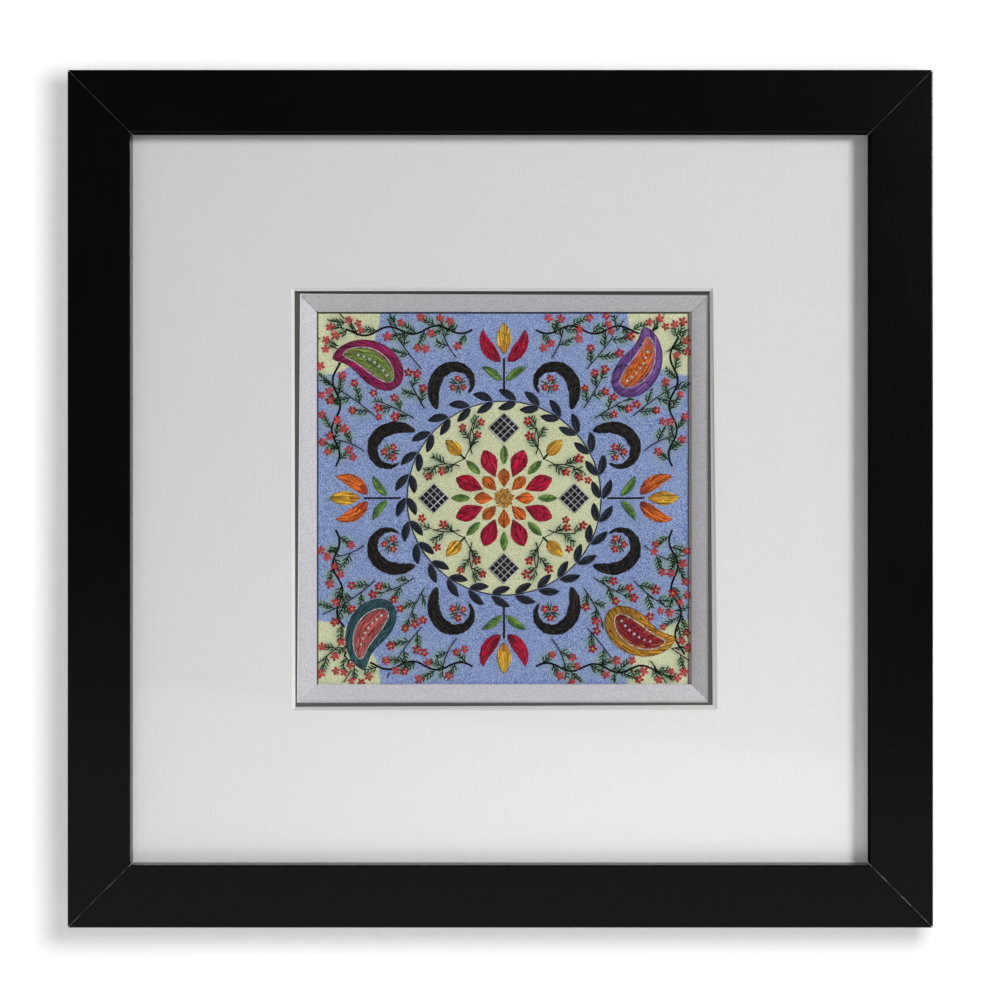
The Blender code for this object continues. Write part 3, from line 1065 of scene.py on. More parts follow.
pads = Pads()
for _, blade, stitch, threads, copy in all_blades():
    shares = (1 - np.cos(np.linspace(0, math.pi, 24 if blade.length > LONG_BLADE else 12))) / 2
    courses = np.interp(shares, blade.shares, blade.course)
    middles, squares = blade.at(shares, 0.0).T, left_of(towards(courses))
    pads.add(middles, squares, blade.reach(shares), PAD_HEIGHTS[stitch], skein(threads, copy)[0])
print(len(pads.faces), "faces of padding")

# %% [markdown]
# The stalks between them are drawn by angle and radius. A ring in stem stitch carries the wreath's leaves. Two rows of
# it carry each tulip and each bud, and every bud has a tendril on either side.

# %% Ring, stalks and buds
def ray(angle, *radii):
    """Points at the given radii, straight out from the middle at an angle in degrees."""
    return [towards(math.radians(angle)) * radius for radius in radii]


STALK_TOP = 0.2
TULIP_STALK = (48.5, 66.5)
BUD_STALK = (25.6, 29.4)
TENDRIL = ((0, 26.4), (6, 27.6), (13, 29.2), (19, 32.4), (20, 36.0))  # degrees from the bud's stalk, and radius

ring = towards(np.linspace(0, math.tau, 181)) * WREATH_RADIUS
stem_stitch(sewings["wreath"], ring, skein("twig"), top=STALK_TOP)
for angle in range(0, 360, 90):
    stem_stitch(sewings["tulips"], ray(angle, *TULIP_STALK), skein("twig"), top=STALK_TOP, rows=2)
    stem_stitch(sewings["rosette"], ray(angle + 45, *BUD_STALK), skein("twig"), top=STALK_TOP, rows=2)
    for hand in (-1, 1):
        bow = [ray(angle + 45 + hand * aside, radius)[0] for aside, radius in TENDRIL]
        stem_stitch(sewings["rosette"], bow, skein("twig"), thick=0.44, length=1.9)
print("ring of", round(math.tau * WREATH_RADIUS), "mm, four tulip stalks, four buds with two tendrils each")

# %% [markdown]
# ## Lozenges with a couched lattice
#
# A lozenge is filled with navy satin, and then long white threads are laid over it both ways and tied down where they
# cross. The ties are stitches of three quarters of a millimetre, and they are what makes it look couched and not
# printed.

# %% Four lozenges
LATTICE_CELLS = 4
LATTICE_LIFT = 0.68
LATTICE_THICK = 0.36
TIE_LIFT = 0.86
TIE_THICK = 0.34
TIE_REACH = 0.26
lattice = Sewing("lozenges", 31)
side = LOZENGE_HALF * math.sqrt(2)
ahead = np.array((1.0, 1.0)) / math.sqrt(2)
square = left_of(ahead)
main, root = skein("lattice_ground")
white, white_tie = skein("white")
for turn in range(4):
    centre = ray(90 * turn, LOZENGE_RADIUS)[0]
    for lane in lanes(side):
        split = lattice.random.uniform(-1.6, 1.6)
        for begin, end in ((-side / 2, split), (split - OVERLAP, side / 2)):
            colour = main + (root - main) * lattice.random.uniform(0, 1)
            ends = [centre + square * lane + ahead * reach + lattice.jitter(0.08) for reach in (begin, end)]
            sink = (HOLE, MEETING) if begin < split - OVERLAP else (MEETING, HOLE)
            lattice.stitch(*ends, colour, SATIN_THICK, crown(lane / side * 1.6) - 0.06, sink)
    marks = (np.arange(LATTICE_CELLS + 1) / LATTICE_CELLS - 0.5) * (side - 0.5)
    for mark in marks:
        for one, other in ((ahead, square), (square, ahead)):
            ends = [centre + one * mark + other * reach * (side / 2 + 0.15) for reach in (-1, 1)]
            ends = [end + lattice.jitter(0.08) for end in ends]
            lattice.stitch(*ends, white, LATTICE_THICK, LATTICE_LIFT)
    for one in marks:
        for other in marks:
            crossing = centre + ahead * one + square * other
            slant = (ahead + square) * TIE_REACH
            lattice.stitch(crossing - slant, crossing + slant, white_tie, TIE_THICK, TIE_LIFT, (0.5, 0.5))
    patches.append(np.array([centre + LOZENGE_HALF * np.array(c) for c in ((1, 0), (0, 1), (-1, 0), (0, -1))]))
    reaches = np.array((-1.0, -0.5, 0.0, 0.5, 1.0)) * LOZENGE_HALF
    middles = centre + np.stack((reaches, 0 * reaches), axis=1)
    pads.add(middles, np.tile((0.0, 1.0), (5, 1)), LOZENGE_HALF - abs(reaches), 0.14, main)
print(len(lattice.rows), "stitches in the lozenges")

# %% [markdown]
# ## Keeping twigs off the satin
#
# The sprays are grown by rules, so they have to know where there is room. The cloth is mapped in cells of half a
# millimetre, and every satin patch is marked as taken. Two more layers of the map gather what is brushed on the
# cloth: a green haze of paint behind the leaves, and a darkening along the stems.

# %% A map of the cloth
CELL = 0.5
EDGE_ROOM = 0.4


class ClothMap:
    """What is taken on the cloth and what is brushed on it, cell by cell."""

    def __init__(self):
        self.u = np.arange(-half_across, half_across, CELL) + CELL / 2
        self.v = np.arange(-half_up, half_up, CELL) + CELL / 2
        self.taken = np.zeros((len(self.u), len(self.v)), bool)
        self.haze = np.zeros(self.taken.shape)
        self.soot = np.zeros(self.taken.shape)

    def window(self, u, v, reach):
        """The cells within reach of a point, with their squared distances."""
        across = slice(*np.searchsorted(self.u, (u - reach, u + reach)))
        upward = slice(*np.searchsorted(self.v, (v - reach, v + reach)))
        return (across, upward), (self.u[across, None] - u) ** 2 + (self.v[None, upward] - v) ** 2

    def take_patch(self, outline):
        """Marks the inside of an outline: a cell is inside where a line to its right crosses an odd number of edges."""
        (u0, v0), (u1, v1) = outline.T[:, :, None, None], np.roll(outline, -1, axis=0).T[:, :, None, None]
        gu, gv = self.u[None, :, None], self.v[None, None, :]
        rising = (v0 > gv) != (v1 > gv)
        crossing = gu < (u1 - u0) * (gv - v0) / np.where(v1 == v0, 1e-9, v1 - v0) + u0
        self.taken |= (rising & crossing).sum(axis=0) % 2 == 1

    def is_free(self, spot, room):
        """Whether a round space there is on the cloth and clear of all that is marked."""
        if abs(spot[0]) > half_across - EDGE_ROOM or abs(spot[1]) > half_up - EDGE_ROOM:
            return False
        cells, squared = self.window(*spot, room)
        return not (self.taken[cells] & (squared < room * room)).any()

    def take_spot(self, spot, reach):
        """Marks a round space as taken."""
        cells, squared = self.window(*spot, reach)
        self.taken[cells] |= squared < reach * reach

    def brush(self, paint, spot, reach, strength):
        """Adds a soft dab to one of the map's two layers."""
        cells, squared = self.window(*spot, reach * 2)
        paint[cells] += strength * np.exp(-squared / (reach * reach))


cloth_map = ClothMap()
patches.append(towards(np.linspace(0, math.tau, 33)[:-1]) * HEART_RADIUS)
for patch in patches:
    cloth_map.take_patch(patch)
print(f"satin covers {cloth_map.taken.mean():.0%} of the sight opening")

# %% [markdown]
# ## Sprays of blossom
#
# A spray is a bent main twig with side twigs left and right in turn. Each side twig carries pairs of small almond
# leaves and ends in one to three blossoms. Twigs, leaves and blossoms are only planned here, with their places. They
# are stitched afterwards, leaves before blossoms, so that blossoms lie on top.

# %% The table of sprays
SPRAYS = (
    # copies, first angle, angle aside, root radius, heading, length, bend, wave, twig pitch, twig length, blossoms
    (4, 0.0, 10.5, 81.0, 79.5, 64.0, 0.0, 30.0, 5.0, 7.6, "coral"),
    (4, 45.0, 12.5, 72.0, -10.0, 30.0, 18.0, 0.0, 5.2, 8.6, "red"),
    (4, 45.0, 3.4, 56.5, 9.0, 15.5, 10.0, 0.0, 4.4, 6.2, "red"),
    (4, 45.0, 26.5, 69.5, -22.0, 15.0, 30.0, 0.0, 4.6, 6.6, "coral"),
    (4, 45.0, 9.0, 25.5, 16.0, 13.5, 40.0, 0.0, 4.4, 6.0, "red"),
    (4, 45.0, 3.0, 103.0, 6.0, 15.0, 0.0, 0.0, 4.8, 7.0, "coral"),
)
WAVE_LENGTH = 24.0
TWIG_SPREAD = 46.0
TWIG_SAG = 16.0
LEAF_SPREAD = 38.0
LEAF_PITCH = 1.65
LEAF_LENGTH = 3.2
LEAF_ROOM = 0.3
STEM_ROOM = 0.3
TWIG_ROOM = 0.4
TWIG_STEPS = 6
SPRAY_STEPS = 40
LONG_STEM = 30.0  # a longer one has two rows
BLOSSOM_RADIUS = 2.5
HAZE = (2.1, 0.30)  # reach and strength of a dab
# reach and strength of a dab that darkens the ground along a stem
STEM_DARKENING = (0.9, 0.2)
growth = np.random.default_rng(7)
twigs, leaves, blossoms = [], [], []


def part_way(path, steps):
    """The point so many steps along a path, whole or broken."""
    return np.array([np.interp(steps, np.arange(len(path)), line) for line in path.T])


def add_blossom(spot, family, radius=BLOSSOM_RADIUS):
    """Plans a blossom where there is room for it."""
    reach = radius * growth.normal(1, 0.07)
    if cloth_map.is_free(spot, reach * 0.8):
        blossoms.append((spot, reach, growth.uniform(0, math.tau), family))
        cloth_map.take_spot(spot, reach * 0.86)


def add_leaf(spot, course, reach):
    """Plans a leaf where there is room, and brushes a little haze behind it."""
    tip = spot + reach * towards(course)
    if cloth_map.is_free((spot + tip) / 2, LEAF_ROOM) and cloth_map.is_free(tip, LEAF_ROOM):
        leaves.append((spot, tip))
        cloth_map.brush(cloth_map.haze, (spot + tip) / 2, *HAZE)


def grow_side_twig(start, course, length, side, family):
    """Plans a side twig with its leaves and blossoms, unless something is in its way."""
    courses = course - side * math.radians(TWIG_SAG) * (np.arange(TWIG_STEPS) + 0.5) / TWIG_STEPS
    path = path_of(start, towards(courses) * length / TWIG_STEPS)
    if not all(cloth_map.is_free(spot, TWIG_ROOM) for spot in path[1:-1]):
        return
    twigs.append((path, 1))
    for i in range(max(2, round(length / LEAF_PITCH))):
        share = (i + 0.7) * LEAF_PITCH / length
        if share > 0.93:
            break
        spot = part_way(path, share * TWIG_STEPS)
        for hand in (1, -1):
            lean = course + hand * math.radians(LEAF_SPREAD + growth.normal(0, 6))
            add_leaf(spot, lean, LEAF_LENGTH * (1 - 0.3 * share) * growth.normal(1, 0.1))
    for i in range(growth.choice((1, 2, 3), p=(0.3, 0.4, 0.3))):
        lean = courses[-1] + math.radians(growth.normal(0, 22) + (0, 62, -62)[i] * side)
        add_blossom(path[-1] + (1.0, 3.9, 3.9)[i] * towards(lean), family)


def free_runs(path):
    """The stretches of a stem that don't lie under satin."""
    clear = np.array([cloth_map.is_free(spot, STEM_ROOM) for spot in path])
    edges = np.flatnonzero(np.diff(np.concatenate(([0], clear.astype(int), [0]))))
    return [path[a:b] for a, b in zip(edges[::2], edges[1::2]) if b - a > 2]


def grow_spray(angle, root, heading, length, bend, wave, pitch, twig, hand, family):
    """Plans a stem, as far as it shows between the patches, and its side twigs."""
    shares = (np.arange(SPRAY_STEPS) + 0.5) / SPRAY_STEPS
    course = angle + hand * math.radians(heading + growth.normal(0, 2.0))
    swing = np.radians(wave) * np.cos(math.tau * shares * length / WAVE_LENGTH)
    courses = course + hand * (math.radians(bend + growth.normal(0, 4)) * shares + swing)
    path = path_of(towards(angle) * root, towards(courses) * (length * growth.normal(1, 0.02)) / SPRAY_STEPS)
    for run in free_runs(path):
        twigs.append((run, 2 if length > LONG_STEM else 1))
        for spot in run[::2]:
            cloth_map.brush(cloth_map.soot, spot, *STEM_DARKENING)
    step = length / SPRAY_STEPS
    side, place = hand, pitch * 0.7
    while place < length - 1:
        swell = 0.78 + 0.3 * math.sin(math.pi * min(1, place / length))
        course = np.interp(place / step, np.arange(SPRAY_STEPS), courses)
        lean = course + side * math.radians(TWIG_SPREAD + growth.normal(0, 5))
        grow_side_twig(part_way(path, place / step), lean, twig * swell * growth.normal(1, 0.09), side, family)
        side = -side
        place += pitch * growth.normal(1, 0.07)
    grow_side_twig(path[-1], courses[-1], twig * 0.8, side, family)


# %% Posies inside the scrolls, and all the sprays
POSY_ANGLE, POSY_RADIUS, POSY_SPREAD = 23.0, 58.0, 2.8
POSY_TURN = 0.35
POSY_LEAVES = ((0.2, 5.0), (-0.2, 4.6))  # turn and length of the two between each pair of blossoms
for copy in range(4):
    for hand in (1, -1):
        angle = math.radians(45 + 90 * copy + hand * POSY_ANGLE)
        middle = towards(angle) * POSY_RADIUS
        for i in range(3):
            add_blossom(middle + towards(angle + hand * (POSY_TURN + math.tau * i / 3)) * POSY_SPREAD, "red", 2.3)
        for i in range(3):
            for lean, reach in POSY_LEAVES:
                add_leaf(middle, angle + hand * (POSY_TURN + math.tau * (i + 0.5) / 3) + lean, reach)
for copies, first, aside, root, *growing, family in SPRAYS:
    for copy in range(copies):
        for hand in (1, -1):
            angle = math.radians(first + 360 * copy / copies + hand * aside)
            grow_spray(angle, root, *growing, hand, family)
print(len(twigs), "twigs,", len(leaves), "leaves,", len(blossoms), "blossoms")

# %% [markdown]
# ## Stitching the sprays
#
# A twig is one row of stem stitch, and the long ones have two. A leaf is two straight stitches side by side, a dark one
# and a shorter, paler one. A blossom has five petals of three stitches each, fanned from its middle, and a knot of
# yellow thread covers the middle.

# %% Twigs and leaves
TWIG_THICK = 0.46
LEAF_THICK = 0.38
LEAF_SHADES = (0.0, 0.08, 0.25, 0.6)
LEAF_CHANCES = (0.35, 0.3, 0.2, 0.15)
LEAF_STITCHES = ((0.0, 0.0, 1.0, 0.0), (0.24, 0.15, 0.86, 0.3))  # sideways, begin, end, how much paler

twig_sewing = Sewing("twigs", 41)
for path, rows in twigs:
    stem_stitch(twig_sewing, path, skein("twig"), STEM_THICK if rows > 1 else TWIG_THICK, length=2.2, rows=rows)

leaf_sewing = Sewing("leaves", 42)
dark, pale = skein("leaf")
for spot, tip in leaves:
    run = tip - spot
    square = left_of(run) / np.linalg.norm(run)
    shade = dark + (pale - dark) * leaf_sewing.random.choice(LEAF_SHADES, p=LEAF_CHANCES)
    for lane, begin, end, paler in LEAF_STITCHES:
        ends = [spot + run * share + square * lane for share in (begin, end)]
        colour = shade + (pale - shade) * paler
        leaf_sewing.stitch(ends[0], ends[1] + leaf_sewing.jitter(0.06), colour, LEAF_THICK, 0.24 - lane / 4)

# %% Blossoms
PETALS = 5
PETAL_FAN = 15.0
PETAL_ROOT = 0.3
PETAL_STITCHES = ((-1, 0.86, 0.27, 0.7), (1, 0.86, 0.27, 0.7), (0, 1.0, 0.34, 0.0))  # turn, reach, height, root colour
blossom_sewing = Sewing("blossoms", 43)
for spot, reach, turn, family in blossoms:
    main, root = skein(family)
    bloom = main * blossom_sewing.random.normal(1.0, 0.07)
    for petal in range(PETALS):
        course = turn + math.tau * petal / PETALS + blossom_sewing.random.normal(0, 0.06)
        for fan, share, top, deep in PETAL_STITCHES:
            way = towards(course + math.radians(PETAL_FAN) * fan)
            colour = bloom + (root - bloom) * deep * blossom_sewing.random.uniform(0.1, 1)
            ends = spot + way * PETAL_ROOT, spot + way * reach * share
            blossom_sewing.stitch(*ends, colour, top=top, sink=(0.1, HOLE))
print(len(leaf_sewing.rows) + len(blossom_sewing.rows), "stitches in leaves and blossoms")

# %% [markdown]
# ## French knots
#
# A knot is thread wound round the needle and pulled tight, a bead of about a millimetre with a dimple. A turned
# profile gives that shape. Its rings are listed from the top down, so each face of the bead is read the other way
# round. The knots fill the rosette's heart, sit in the blossoms, and run down each paisley.

# %% A turned bead
KNOT_SIDES = 8
KNOT_PROFILE = ((0.0, 0.62), (0.38, 0.92), (0.8, 0.78), (1.0, 0.34), (0.8, 0.0), (0.0, -0.05))  # radius, height


def lay_knots(name, rows, finish, seed):
    """All the knots of one piece. A row is a spot, a radius, a base height and a colour."""
    random = np.random.default_rng(seed)
    rings = len(KNOT_PROFILE) - 2
    per_knot = rings * KNOT_SIDES + 2
    corners, sizes = as_arrays([face[:1] + face[:0:-1] for face in bead_faces(KNOT_SIDES, rings)])
    angles = np.arange(KNOT_SIDES) * math.tau / KNOT_SIDES
    points, tones = [], []
    for spot, radius, base, colour in rows:
        turn = random.uniform(0, math.tau)
        profile = [(r * radius, base + h * radius) for r, h in KNOT_PROFILE]
        points.append((*spot, profile[0][1]))
        for r, h in profile[1:-1]:
            lift = random.normal(0, 0.03, KNOT_SIDES)
            points += [(*(spot + r * towards(a + turn)), h + bump) for a, bump in zip(angles, lift)]
        points.append((*spot, profile[-1][1]))
        tones += [colour * random.normal(1, 0.1)] * per_knot
    corner_points = repeated(corners[:, 0], per_knot, len(rows))
    mesh = fill_mesh(name, on_cloth(np.array(points)), corner_points, np.tile(sizes, len(rows)), finish)
    tint(mesh, np.array(tones))
    print(f"{name}: {len(rows)} knots")
    return embroidered(name, mesh)


# %% Where the knots sit
KNOT_RADIUS = 0.62
PAISLEY_KNOT_RADIUS = 0.72
HEART_KNOTS = 46
PAISLEY_KNOTS = 7
GOLDEN_TURN = math.radians(137.5)  # the turn between neighbours that packs seeds evenly

knots = []
heart_main, heart_root = skein("yellow")
for i in range(HEART_KNOTS):
    radius = (HEART_RADIUS + 0.3) * math.sqrt((i + 0.5) / HEART_KNOTS)
    base = 0.1 + 0.25 * (1 - radius / HEART_RADIUS)
    knots.append((radius * towards(i * GOLDEN_TURN), KNOT_RADIUS, base, heart_root if i % 3 == 0 else heart_main))
for spot, _, _, family in blossoms:
    knots.append((spot, KNOT_RADIUS, 0.28, skein("pistil")[0 if family == "red" else 1]))
for _, blade, stitch, _, _ in all_blades():
    if stitch == "nested":
        for share in np.linspace(0.2, 0.66, PAISLEY_KNOTS):
            knots.append((blade.at(share, 0.0), PAISLEY_KNOT_RADIUS, 0.62, white))
print(len(knots), "knots")

# %% Knot finish
def knotted():
    finish = Finish("knotted_thread", 0.5, Specular_IOR_Level=0.4)
    coil = finish.mottle(0.3 * MM, 2.0)
    own = finish.attribute("thread_colour")
    finish.colour(finish.blend(coil.rise(0.35, 0.62) * 0.45, own, linear(96, 58, 34)))
    finish.relief(coil, 0.09 * MM)
    return finish


stitched = [sewings[name].lay(silk) for name in BLADE_PIECES]
stitched += [lattice.lay(silk), twig_sewing.lay(cotton), leaf_sewing.lay(cotton), blossom_sewing.lay(silk)]
stitched += [lay_knots("french_knots", knots, knotted(), 51), pads.lay("padding", cotton)]

# %% [markdown]
# ## The ground cloth
#
# The ground is a crepe that was painted before it was stitched: blue all over, a pale green round under the rosette,
# pale green quarter rounds in the corners, and a soft green breath behind the leaves. It is stretched flat, so its mesh
# is a fine grid with only the slight waves that thread tension leaves. The haze and the darkening along the stems from
# the map are stored at the grid's points, and the crisp edges of the rounds are worked out in the finish, where they
# stay sharp.

# %% Stretch the cloth
CLOTH_MARGIN = 13.0
GRID_STEPS = 168
GROUND_THICK = 0.6 * MM
WAVE_HEIGHT = 0.05


def ground_mesh(finish):
    across = np.linspace(-half_across - CLOTH_MARGIN, half_across + CLOTH_MARGIN, GRID_STEPS + 1)
    upward = np.linspace(-half_up - CLOTH_MARGIN, half_up + CLOTH_MARGIN, GRID_STEPS + 1)
    u, v = np.meshgrid(across, upward, indexing="ij")
    waves = np.sin(u / 7.3 + np.sin(v / 11.0)) * np.sin(v / 8.1 + np.sin(u / 13.0))
    inside = (np.abs(u) < half_across - 2) & (np.abs(v) < half_up - 2)
    height = WAVE_HEIGHT * waves * inside
    points = on_cloth(np.stack((u, v, height), axis=-1)).reshape(-1, 3)
    at = np.arange((GRID_STEPS + 1) ** 2).reshape(u.shape)
    quads = np.stack((at[:-1, :-1], at[1:, :-1], at[1:, 1:], at[:-1, 1:]), axis=-1).reshape(-1, 4)
    mesh = fill_mesh("ground_cloth", points, quads.ravel(), np.full(len(quads), 4), finish)
    across_cell = np.clip(np.searchsorted(cloth_map.u, u.ravel()), 0, len(cloth_map.u) - 1)
    upward_cell = np.clip(np.searchsorted(cloth_map.v, v.ravel()), 0, len(cloth_map.v) - 1)
    for name, paint in (("haze", cloth_map.haze), ("soot", cloth_map.soot)):
        layer = mesh.attributes.new(name, "FLOAT", "POINT")
        layer.data.foreach_set("value", np.clip(paint[across_cell, upward_cell], 0, 1).astype(np.float32))
    return mesh


# %% Painted crepe
MEDALLION_RADIUS = 45.6
CORNER_RADIUS = 30.0
PAINT_EDGE = 87.2
LINE_WIDTH = 0.9
LINE_SOFTNESS = 0.25
CREPE_PITCH = 0.42 * MM


def painted_crepe():
    finish = Finish("painted_crepe", 0.9, Specular_IOR_Level=0.2, Sheen_Weight=0.1)
    from_middle = finish.place - (middle_x, 0.0, middle_z)
    x, _, z = (from_middle * (1 / MM)).parts()
    wobble = finish.mottle(9 * MM, 3.0) * 1.6 - 0.8
    far = (x * x + z * z).root() + wobble
    corner_x, corner_z = half_across - abs(x), half_up - abs(z)
    from_corner = (corner_x * corner_x + corner_z * corner_z).root() + wobble
    green_part = (1 - far.rise(MEDALLION_RADIUS - 0.5, MEDALLION_RADIUS + 0.5)).larger(
        1 - from_corner.rise(CORNER_RADIUS - 0.7, CORNER_RADIUS + 0.7)
    )
    crepe = finish.mottle(0.4 * MM, 2.0).rise(0.39, 0.61)
    hue = finish.mottle((0.55 * MM, 1 * MM, 0.8 * MM), 2.0, finish.place + (0.31, 0.0, 0.17)).rise(0.36, 0.64)
    cloud = finish.mottle(24 * MM, 3.0)
    fine = crepe * 0.8 + cloud * 0.2
    blue = finish.blend(fine, linear(68, 100, 180), linear(194, 217, 253))
    blue = finish.blend(hue * 0.16, blue, linear(150, 140, 190))
    green = finish.blend(fine, linear(202, 209, 158), linear(250, 253, 220))
    haze = finish.attribute("haze", "Fac") * (0.55 + 0.45 * crepe)
    # The ground is made darker along the stems.
    soot = finish.attribute("soot", "Fac") * (0.5 + 0.5 * hue)
    bare = x.rise(PAINT_EDGE, PAINT_EDGE + 0.3)
    violet = x.rise(PAINT_EDGE - 0.7, PAINT_EDGE - 0.2) * (1 - bare)
    to_left = (x * -1).rise(half_across - LINE_WIDTH, half_across - LINE_WIDTH + LINE_SOFTNESS)
    to_top = z.rise(half_up - LINE_WIDTH, half_up - LINE_WIDTH + LINE_SOFTNESS)
    ground = finish.blend(green_part, blue, green)
    for share, paint in (
        (haze.smaller(0.75), (152, 182, 152)),
        (soot.smaller(0.6), (66, 58, 54)),
        (violet * 0.7, (84, 72, 110)),
        (to_left.larger(to_top) * 0.85, (38, 44, 60)),
        (bare, (214, 208, 190)),
    ):
        ground = finish.blend(share, ground, linear(*paint))
    finish.colour(ground)
    finish.relief(crepe * 0.6 + weave(finish, CREPE_PITCH, 6.0) * 0.4, 0.08 * MM)
    return finish


ground = in_scene("ground_cloth", ground_mesh(painted_crepe()))
depth = ground.modifiers.new("thickness", "SOLIDIFY")
depth.thickness = GROUND_THICK
depth.offset = -1.0
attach(ground, "root")
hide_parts("embroidered_cloth")

# %% [markdown]
# ## Wall, floor and light
#
# The picture hangs on a plain white wall over a pale floor. The wall is seen from the front only: from behind it lets
# the eye through, so that the back board can be looked at. The main light is a soft box to the right and a little
# above, which is why the lip of the frame shades the right and upper edges of the mat. It shines past the mats' edges,
# so that the slip beside them stays evenly lit. Weak boxes soften the shadows: a wide one from the left, one at knee
# height, one at brow height for the slip, and one just under the picture that makes the mat palest at the bottom. A
# product photographer lights the backdrop apart from the object, so that it goes pure white without washing out the
# picture. The same is done here: the wall has a globe of its own, close in front of the picture and a little to the
# right, so the soft shadow spreads past all four sides, most of all to the left and below.

# %% Stage
WALL_GAP = 1 * MM
WALL_REACH = 3.0
WALL_GLOW = 0.43
FLOOR_LEVEL = -1.45


def staged(name, corners, finish):
    """A flat sheet that belongs to the stage and not to the picture."""
    sheet = in_scene(name, plain_mesh(name, corners, [(0, 1, 2, 3)], finish))
    return sheet


def wall_paint():
    finish = Finish("wall_paint", 0.9, Emission_Color=(1, 1, 1, 1), Emission_Strength=WALL_GLOW)
    finish.colour(linear(250, 250, 250))
    finish.ends_in(finish.surface("Backfacing"), finish.plain, finish.node("ShaderNodeBsdfTransparent", {}, {}))
    return finish


def floor_paint():
    finish = Finish("floor_paint", 0.8)
    finish.colour(finish.blend(finish.mottle(0.05, 4.0), linear(206, 204, 200), linear(216, 214, 210)))
    return finish


r = WALL_REACH
wall_corners = [(-r, WALL_GAP, FLOOR_LEVEL), (r, WALL_GAP, FLOOR_LEVEL), (r, WALL_GAP, r), (-r, WALL_GAP, r)]
wall = staged("wall", wall_corners, wall_paint())
floor_corners = [(-r, -r, FLOOR_LEVEL), (r, -r, FLOOR_LEVEL), (r, r, FLOOR_LEVEL), (-r, r, FLOOR_LEVEL)]
staged("floor", floor_corners, floor_paint())


# %% Soft boxes, and who they light
def group(name, members, state):
    """A list of pieces for a lamp: either all that it lights or is stopped by, or all that are left out of that."""
    pieces = bpy.data.collections.new(name)
    for i, member in enumerate(members):
        pieces.objects.link(member)
        pieces.collection_objects[i].light_linking.link_state = state
    return pieces


only_wall = group("only_wall", [wall], "INCLUDE")
all_but_wall = group("all_but_wall", [wall], "EXCLUDE")
mats = [frame["nodes"][name] for name in ("mat_cream", "mat_charcoal")]
only_mats = group("only_mats", mats, "INCLUDE")
all_but_mats = group("all_but_mats", mats, "EXCLUDE")
slip_pieces = [piece for piece in bpy.data.objects if piece.name.startswith("slip_")]
only_slip = group("only_slip", slip_pieces, "INCLUDE")
all_but_slip = group("all_but_slip", [wall, *slip_pieces], "EXCLUDE")


def hang_lamp(light, place, lights_up):
    """Hangs a lamp at a place, turned to the picture's middle, to light one group of pieces."""
    lamp = in_scene(light.name, light)
    lamp.location = place
    lamp.rotation_euler = (-Vector(place)).to_track_quat("-Z", "Y").to_euler()
    lamp.light_linking.receiver_collection = lights_up
    return lamp


def soft_box(name, place, width, height, power, colour, lights_up, shaded_by, mirrored):
    """A flat lamp. One that isn't mirrored leaves no bright spot on lacquer and glass."""
    light = bpy.data.lights.new(name, "AREA")
    light.shape = "RECTANGLE"
    light.size, light.size_y = width, height
    light.energy, light.color = power, colour
    lamp = hang_lamp(light, place, lights_up)
    lamp.light_linking.blocker_collection = shaded_by
    lamp.visible_glossy = lamp.visible_camera = mirrored


def even_globe(name, place, radius, power, lights_up):
    """A round lamp whose light doesn't fade with distance, so that a near one still lights a wall evenly."""
    light = bpy.data.lights.new(name, "POINT")
    light.shadow_soft_size = radius
    light.energy = power
    light.use_nodes = True
    bulb = Nodes(light.node_tree)
    steady = bulb.node("ShaderNodeLightFalloff", {}, {"Strength": 1.0}, "Constant")
    bulb.join(steady, light.node_tree.nodes["Emission"].inputs["Strength"])
    hang_lamp(light, place, lights_up)


WHITE, CANDLE = (1.0, 1.0, 1.0), (1.0, 1.0, 0.92)
SOFT_BOXES = (
    # name, place, width, height, power, colour, group it lights, group that shades it, whether a gloss mirrors it
    ("key_box", (1.69, -2.00, 0.67), 0.66, 0.66, 50.5, WHITE, all_but_wall, all_but_mats, True),
    ("fill_box", (-0.8, -1.8, 0.5), 1.0, 1.0, 2.35, CANDLE, all_but_wall, None, False),
    ("knee_box", (0.1, -0.85, -0.6), 0.4, 0.3, 1.3, CANDLE, all_but_slip, None, False),
    ("brow_box", (0.1, -0.7, 0.8), 0.4, 0.3, 2.4, WHITE, only_slip, None, False),
    ("low_box", (0.05, -0.28, -0.42), 0.4, 0.2, 0.57, WHITE, only_mats, only_mats, False),
    ("back_box", (-0.8, 1.6, 0.6), 1.2, 1.2, 30.0, WHITE, all_but_wall, None, True),
)
for row in SOFT_BOXES:
    soft_box(*row)
even_globe("wall_globe", (0.142, -0.574, 0.098), 0.14, 25.0, only_wall)
print(len(SOFT_BOXES), "soft boxes and a globe")

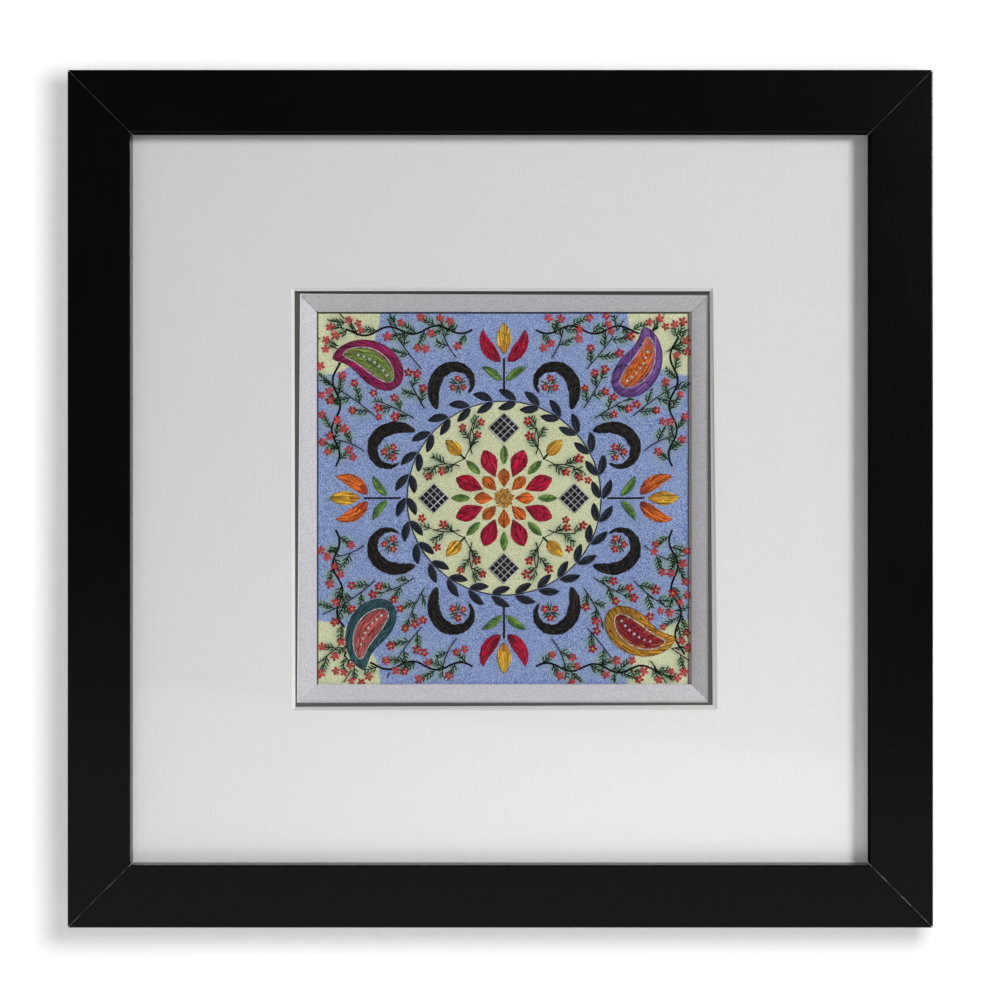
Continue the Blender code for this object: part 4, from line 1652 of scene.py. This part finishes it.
# %% [markdown]
# The rest of the room matters because black lacquer and glass mirror it. The studio is dark, so the needlework's blacks
# stay black behind the glass, but its floor is pale. From the camera the floor's far edge is mirrored in the glass as a
# faint, slightly slanting line low on the mat, and the lower rail mirrors the floor too, which makes it the palest of
# the four. The room is worked out from the direction in which it is seen.

# %% A dark room with a pale floor
FLOOR_EDGE_SLOPE = -0.115
FLOOR_EDGE_SLANT = -0.104
FLOOR_EDGE_BLUR = 0.004

world = bpy.data.worlds.new("room")
world.use_nodes = True
bpy.context.scene.world = world
room = Nodes(world.node_tree)
seen_x, seen_y, seen_z = room.node("ShaderNodeTexCoord", {}, {}, "Generated").parts()
ahead = abs(seen_y).larger(0.05)
below = FLOOR_EDGE_SLOPE + (seen_x / ahead) * FLOOR_EDGE_SLANT - seen_z / ahead
floor_share = below.rise(-FLOOR_EDGE_BLUR, FLOOR_EDGE_BLUR)
sky = world.node_tree.nodes["Background"]
room.join(room.blend(floor_share, linear(48, 48, 51), linear(170, 169, 167)), sky.inputs["Color"])

# %% [markdown]
# ## The camera
#
# The photograph was taken straight on, from about nine tenths of a metre. At that distance the image has to take in
# 462 mm at the frame's face, which fixes the lens. The standard view transform keeps whites white.

# %% Camera and view
CAMERA_AWAY = 0.9
SENSOR = 36.0
SEEN_ACROSS = 461.89 * MM
CAMERA_X = -0.14 * MM
CAMERA_Z = -0.58 * MM

camera_data = bpy.data.cameras.new("camera")
camera_data.sensor_width = SENSOR
camera_data.lens = SENSOR * CAMERA_AWAY / SEEN_ACROSS
camera = in_scene("camera", camera_data)
camera.location = (CAMERA_X, face_front - CAMERA_AWAY, CAMERA_Z)
camera.rotation_euler = (math.radians(90), 0, 0)
bpy.context.scene.camera = camera
bpy.context.scene.view_settings.view_transform = "Standard"
bpy.context.scene.view_settings.look = "None"
print(f"lens {camera_data.lens:.1f} mm at {CAMERA_AWAY} m")

# %% [markdown]
# ## Sizes, and the end
#
# The imported model's box is printed. Stitches lie inside the slip, so the finished picture's box should be the
# same.

# %% Print the packed box and finish
print("packed box ", [round(n / MM, 1) for n in (cad_high - cad_low)])
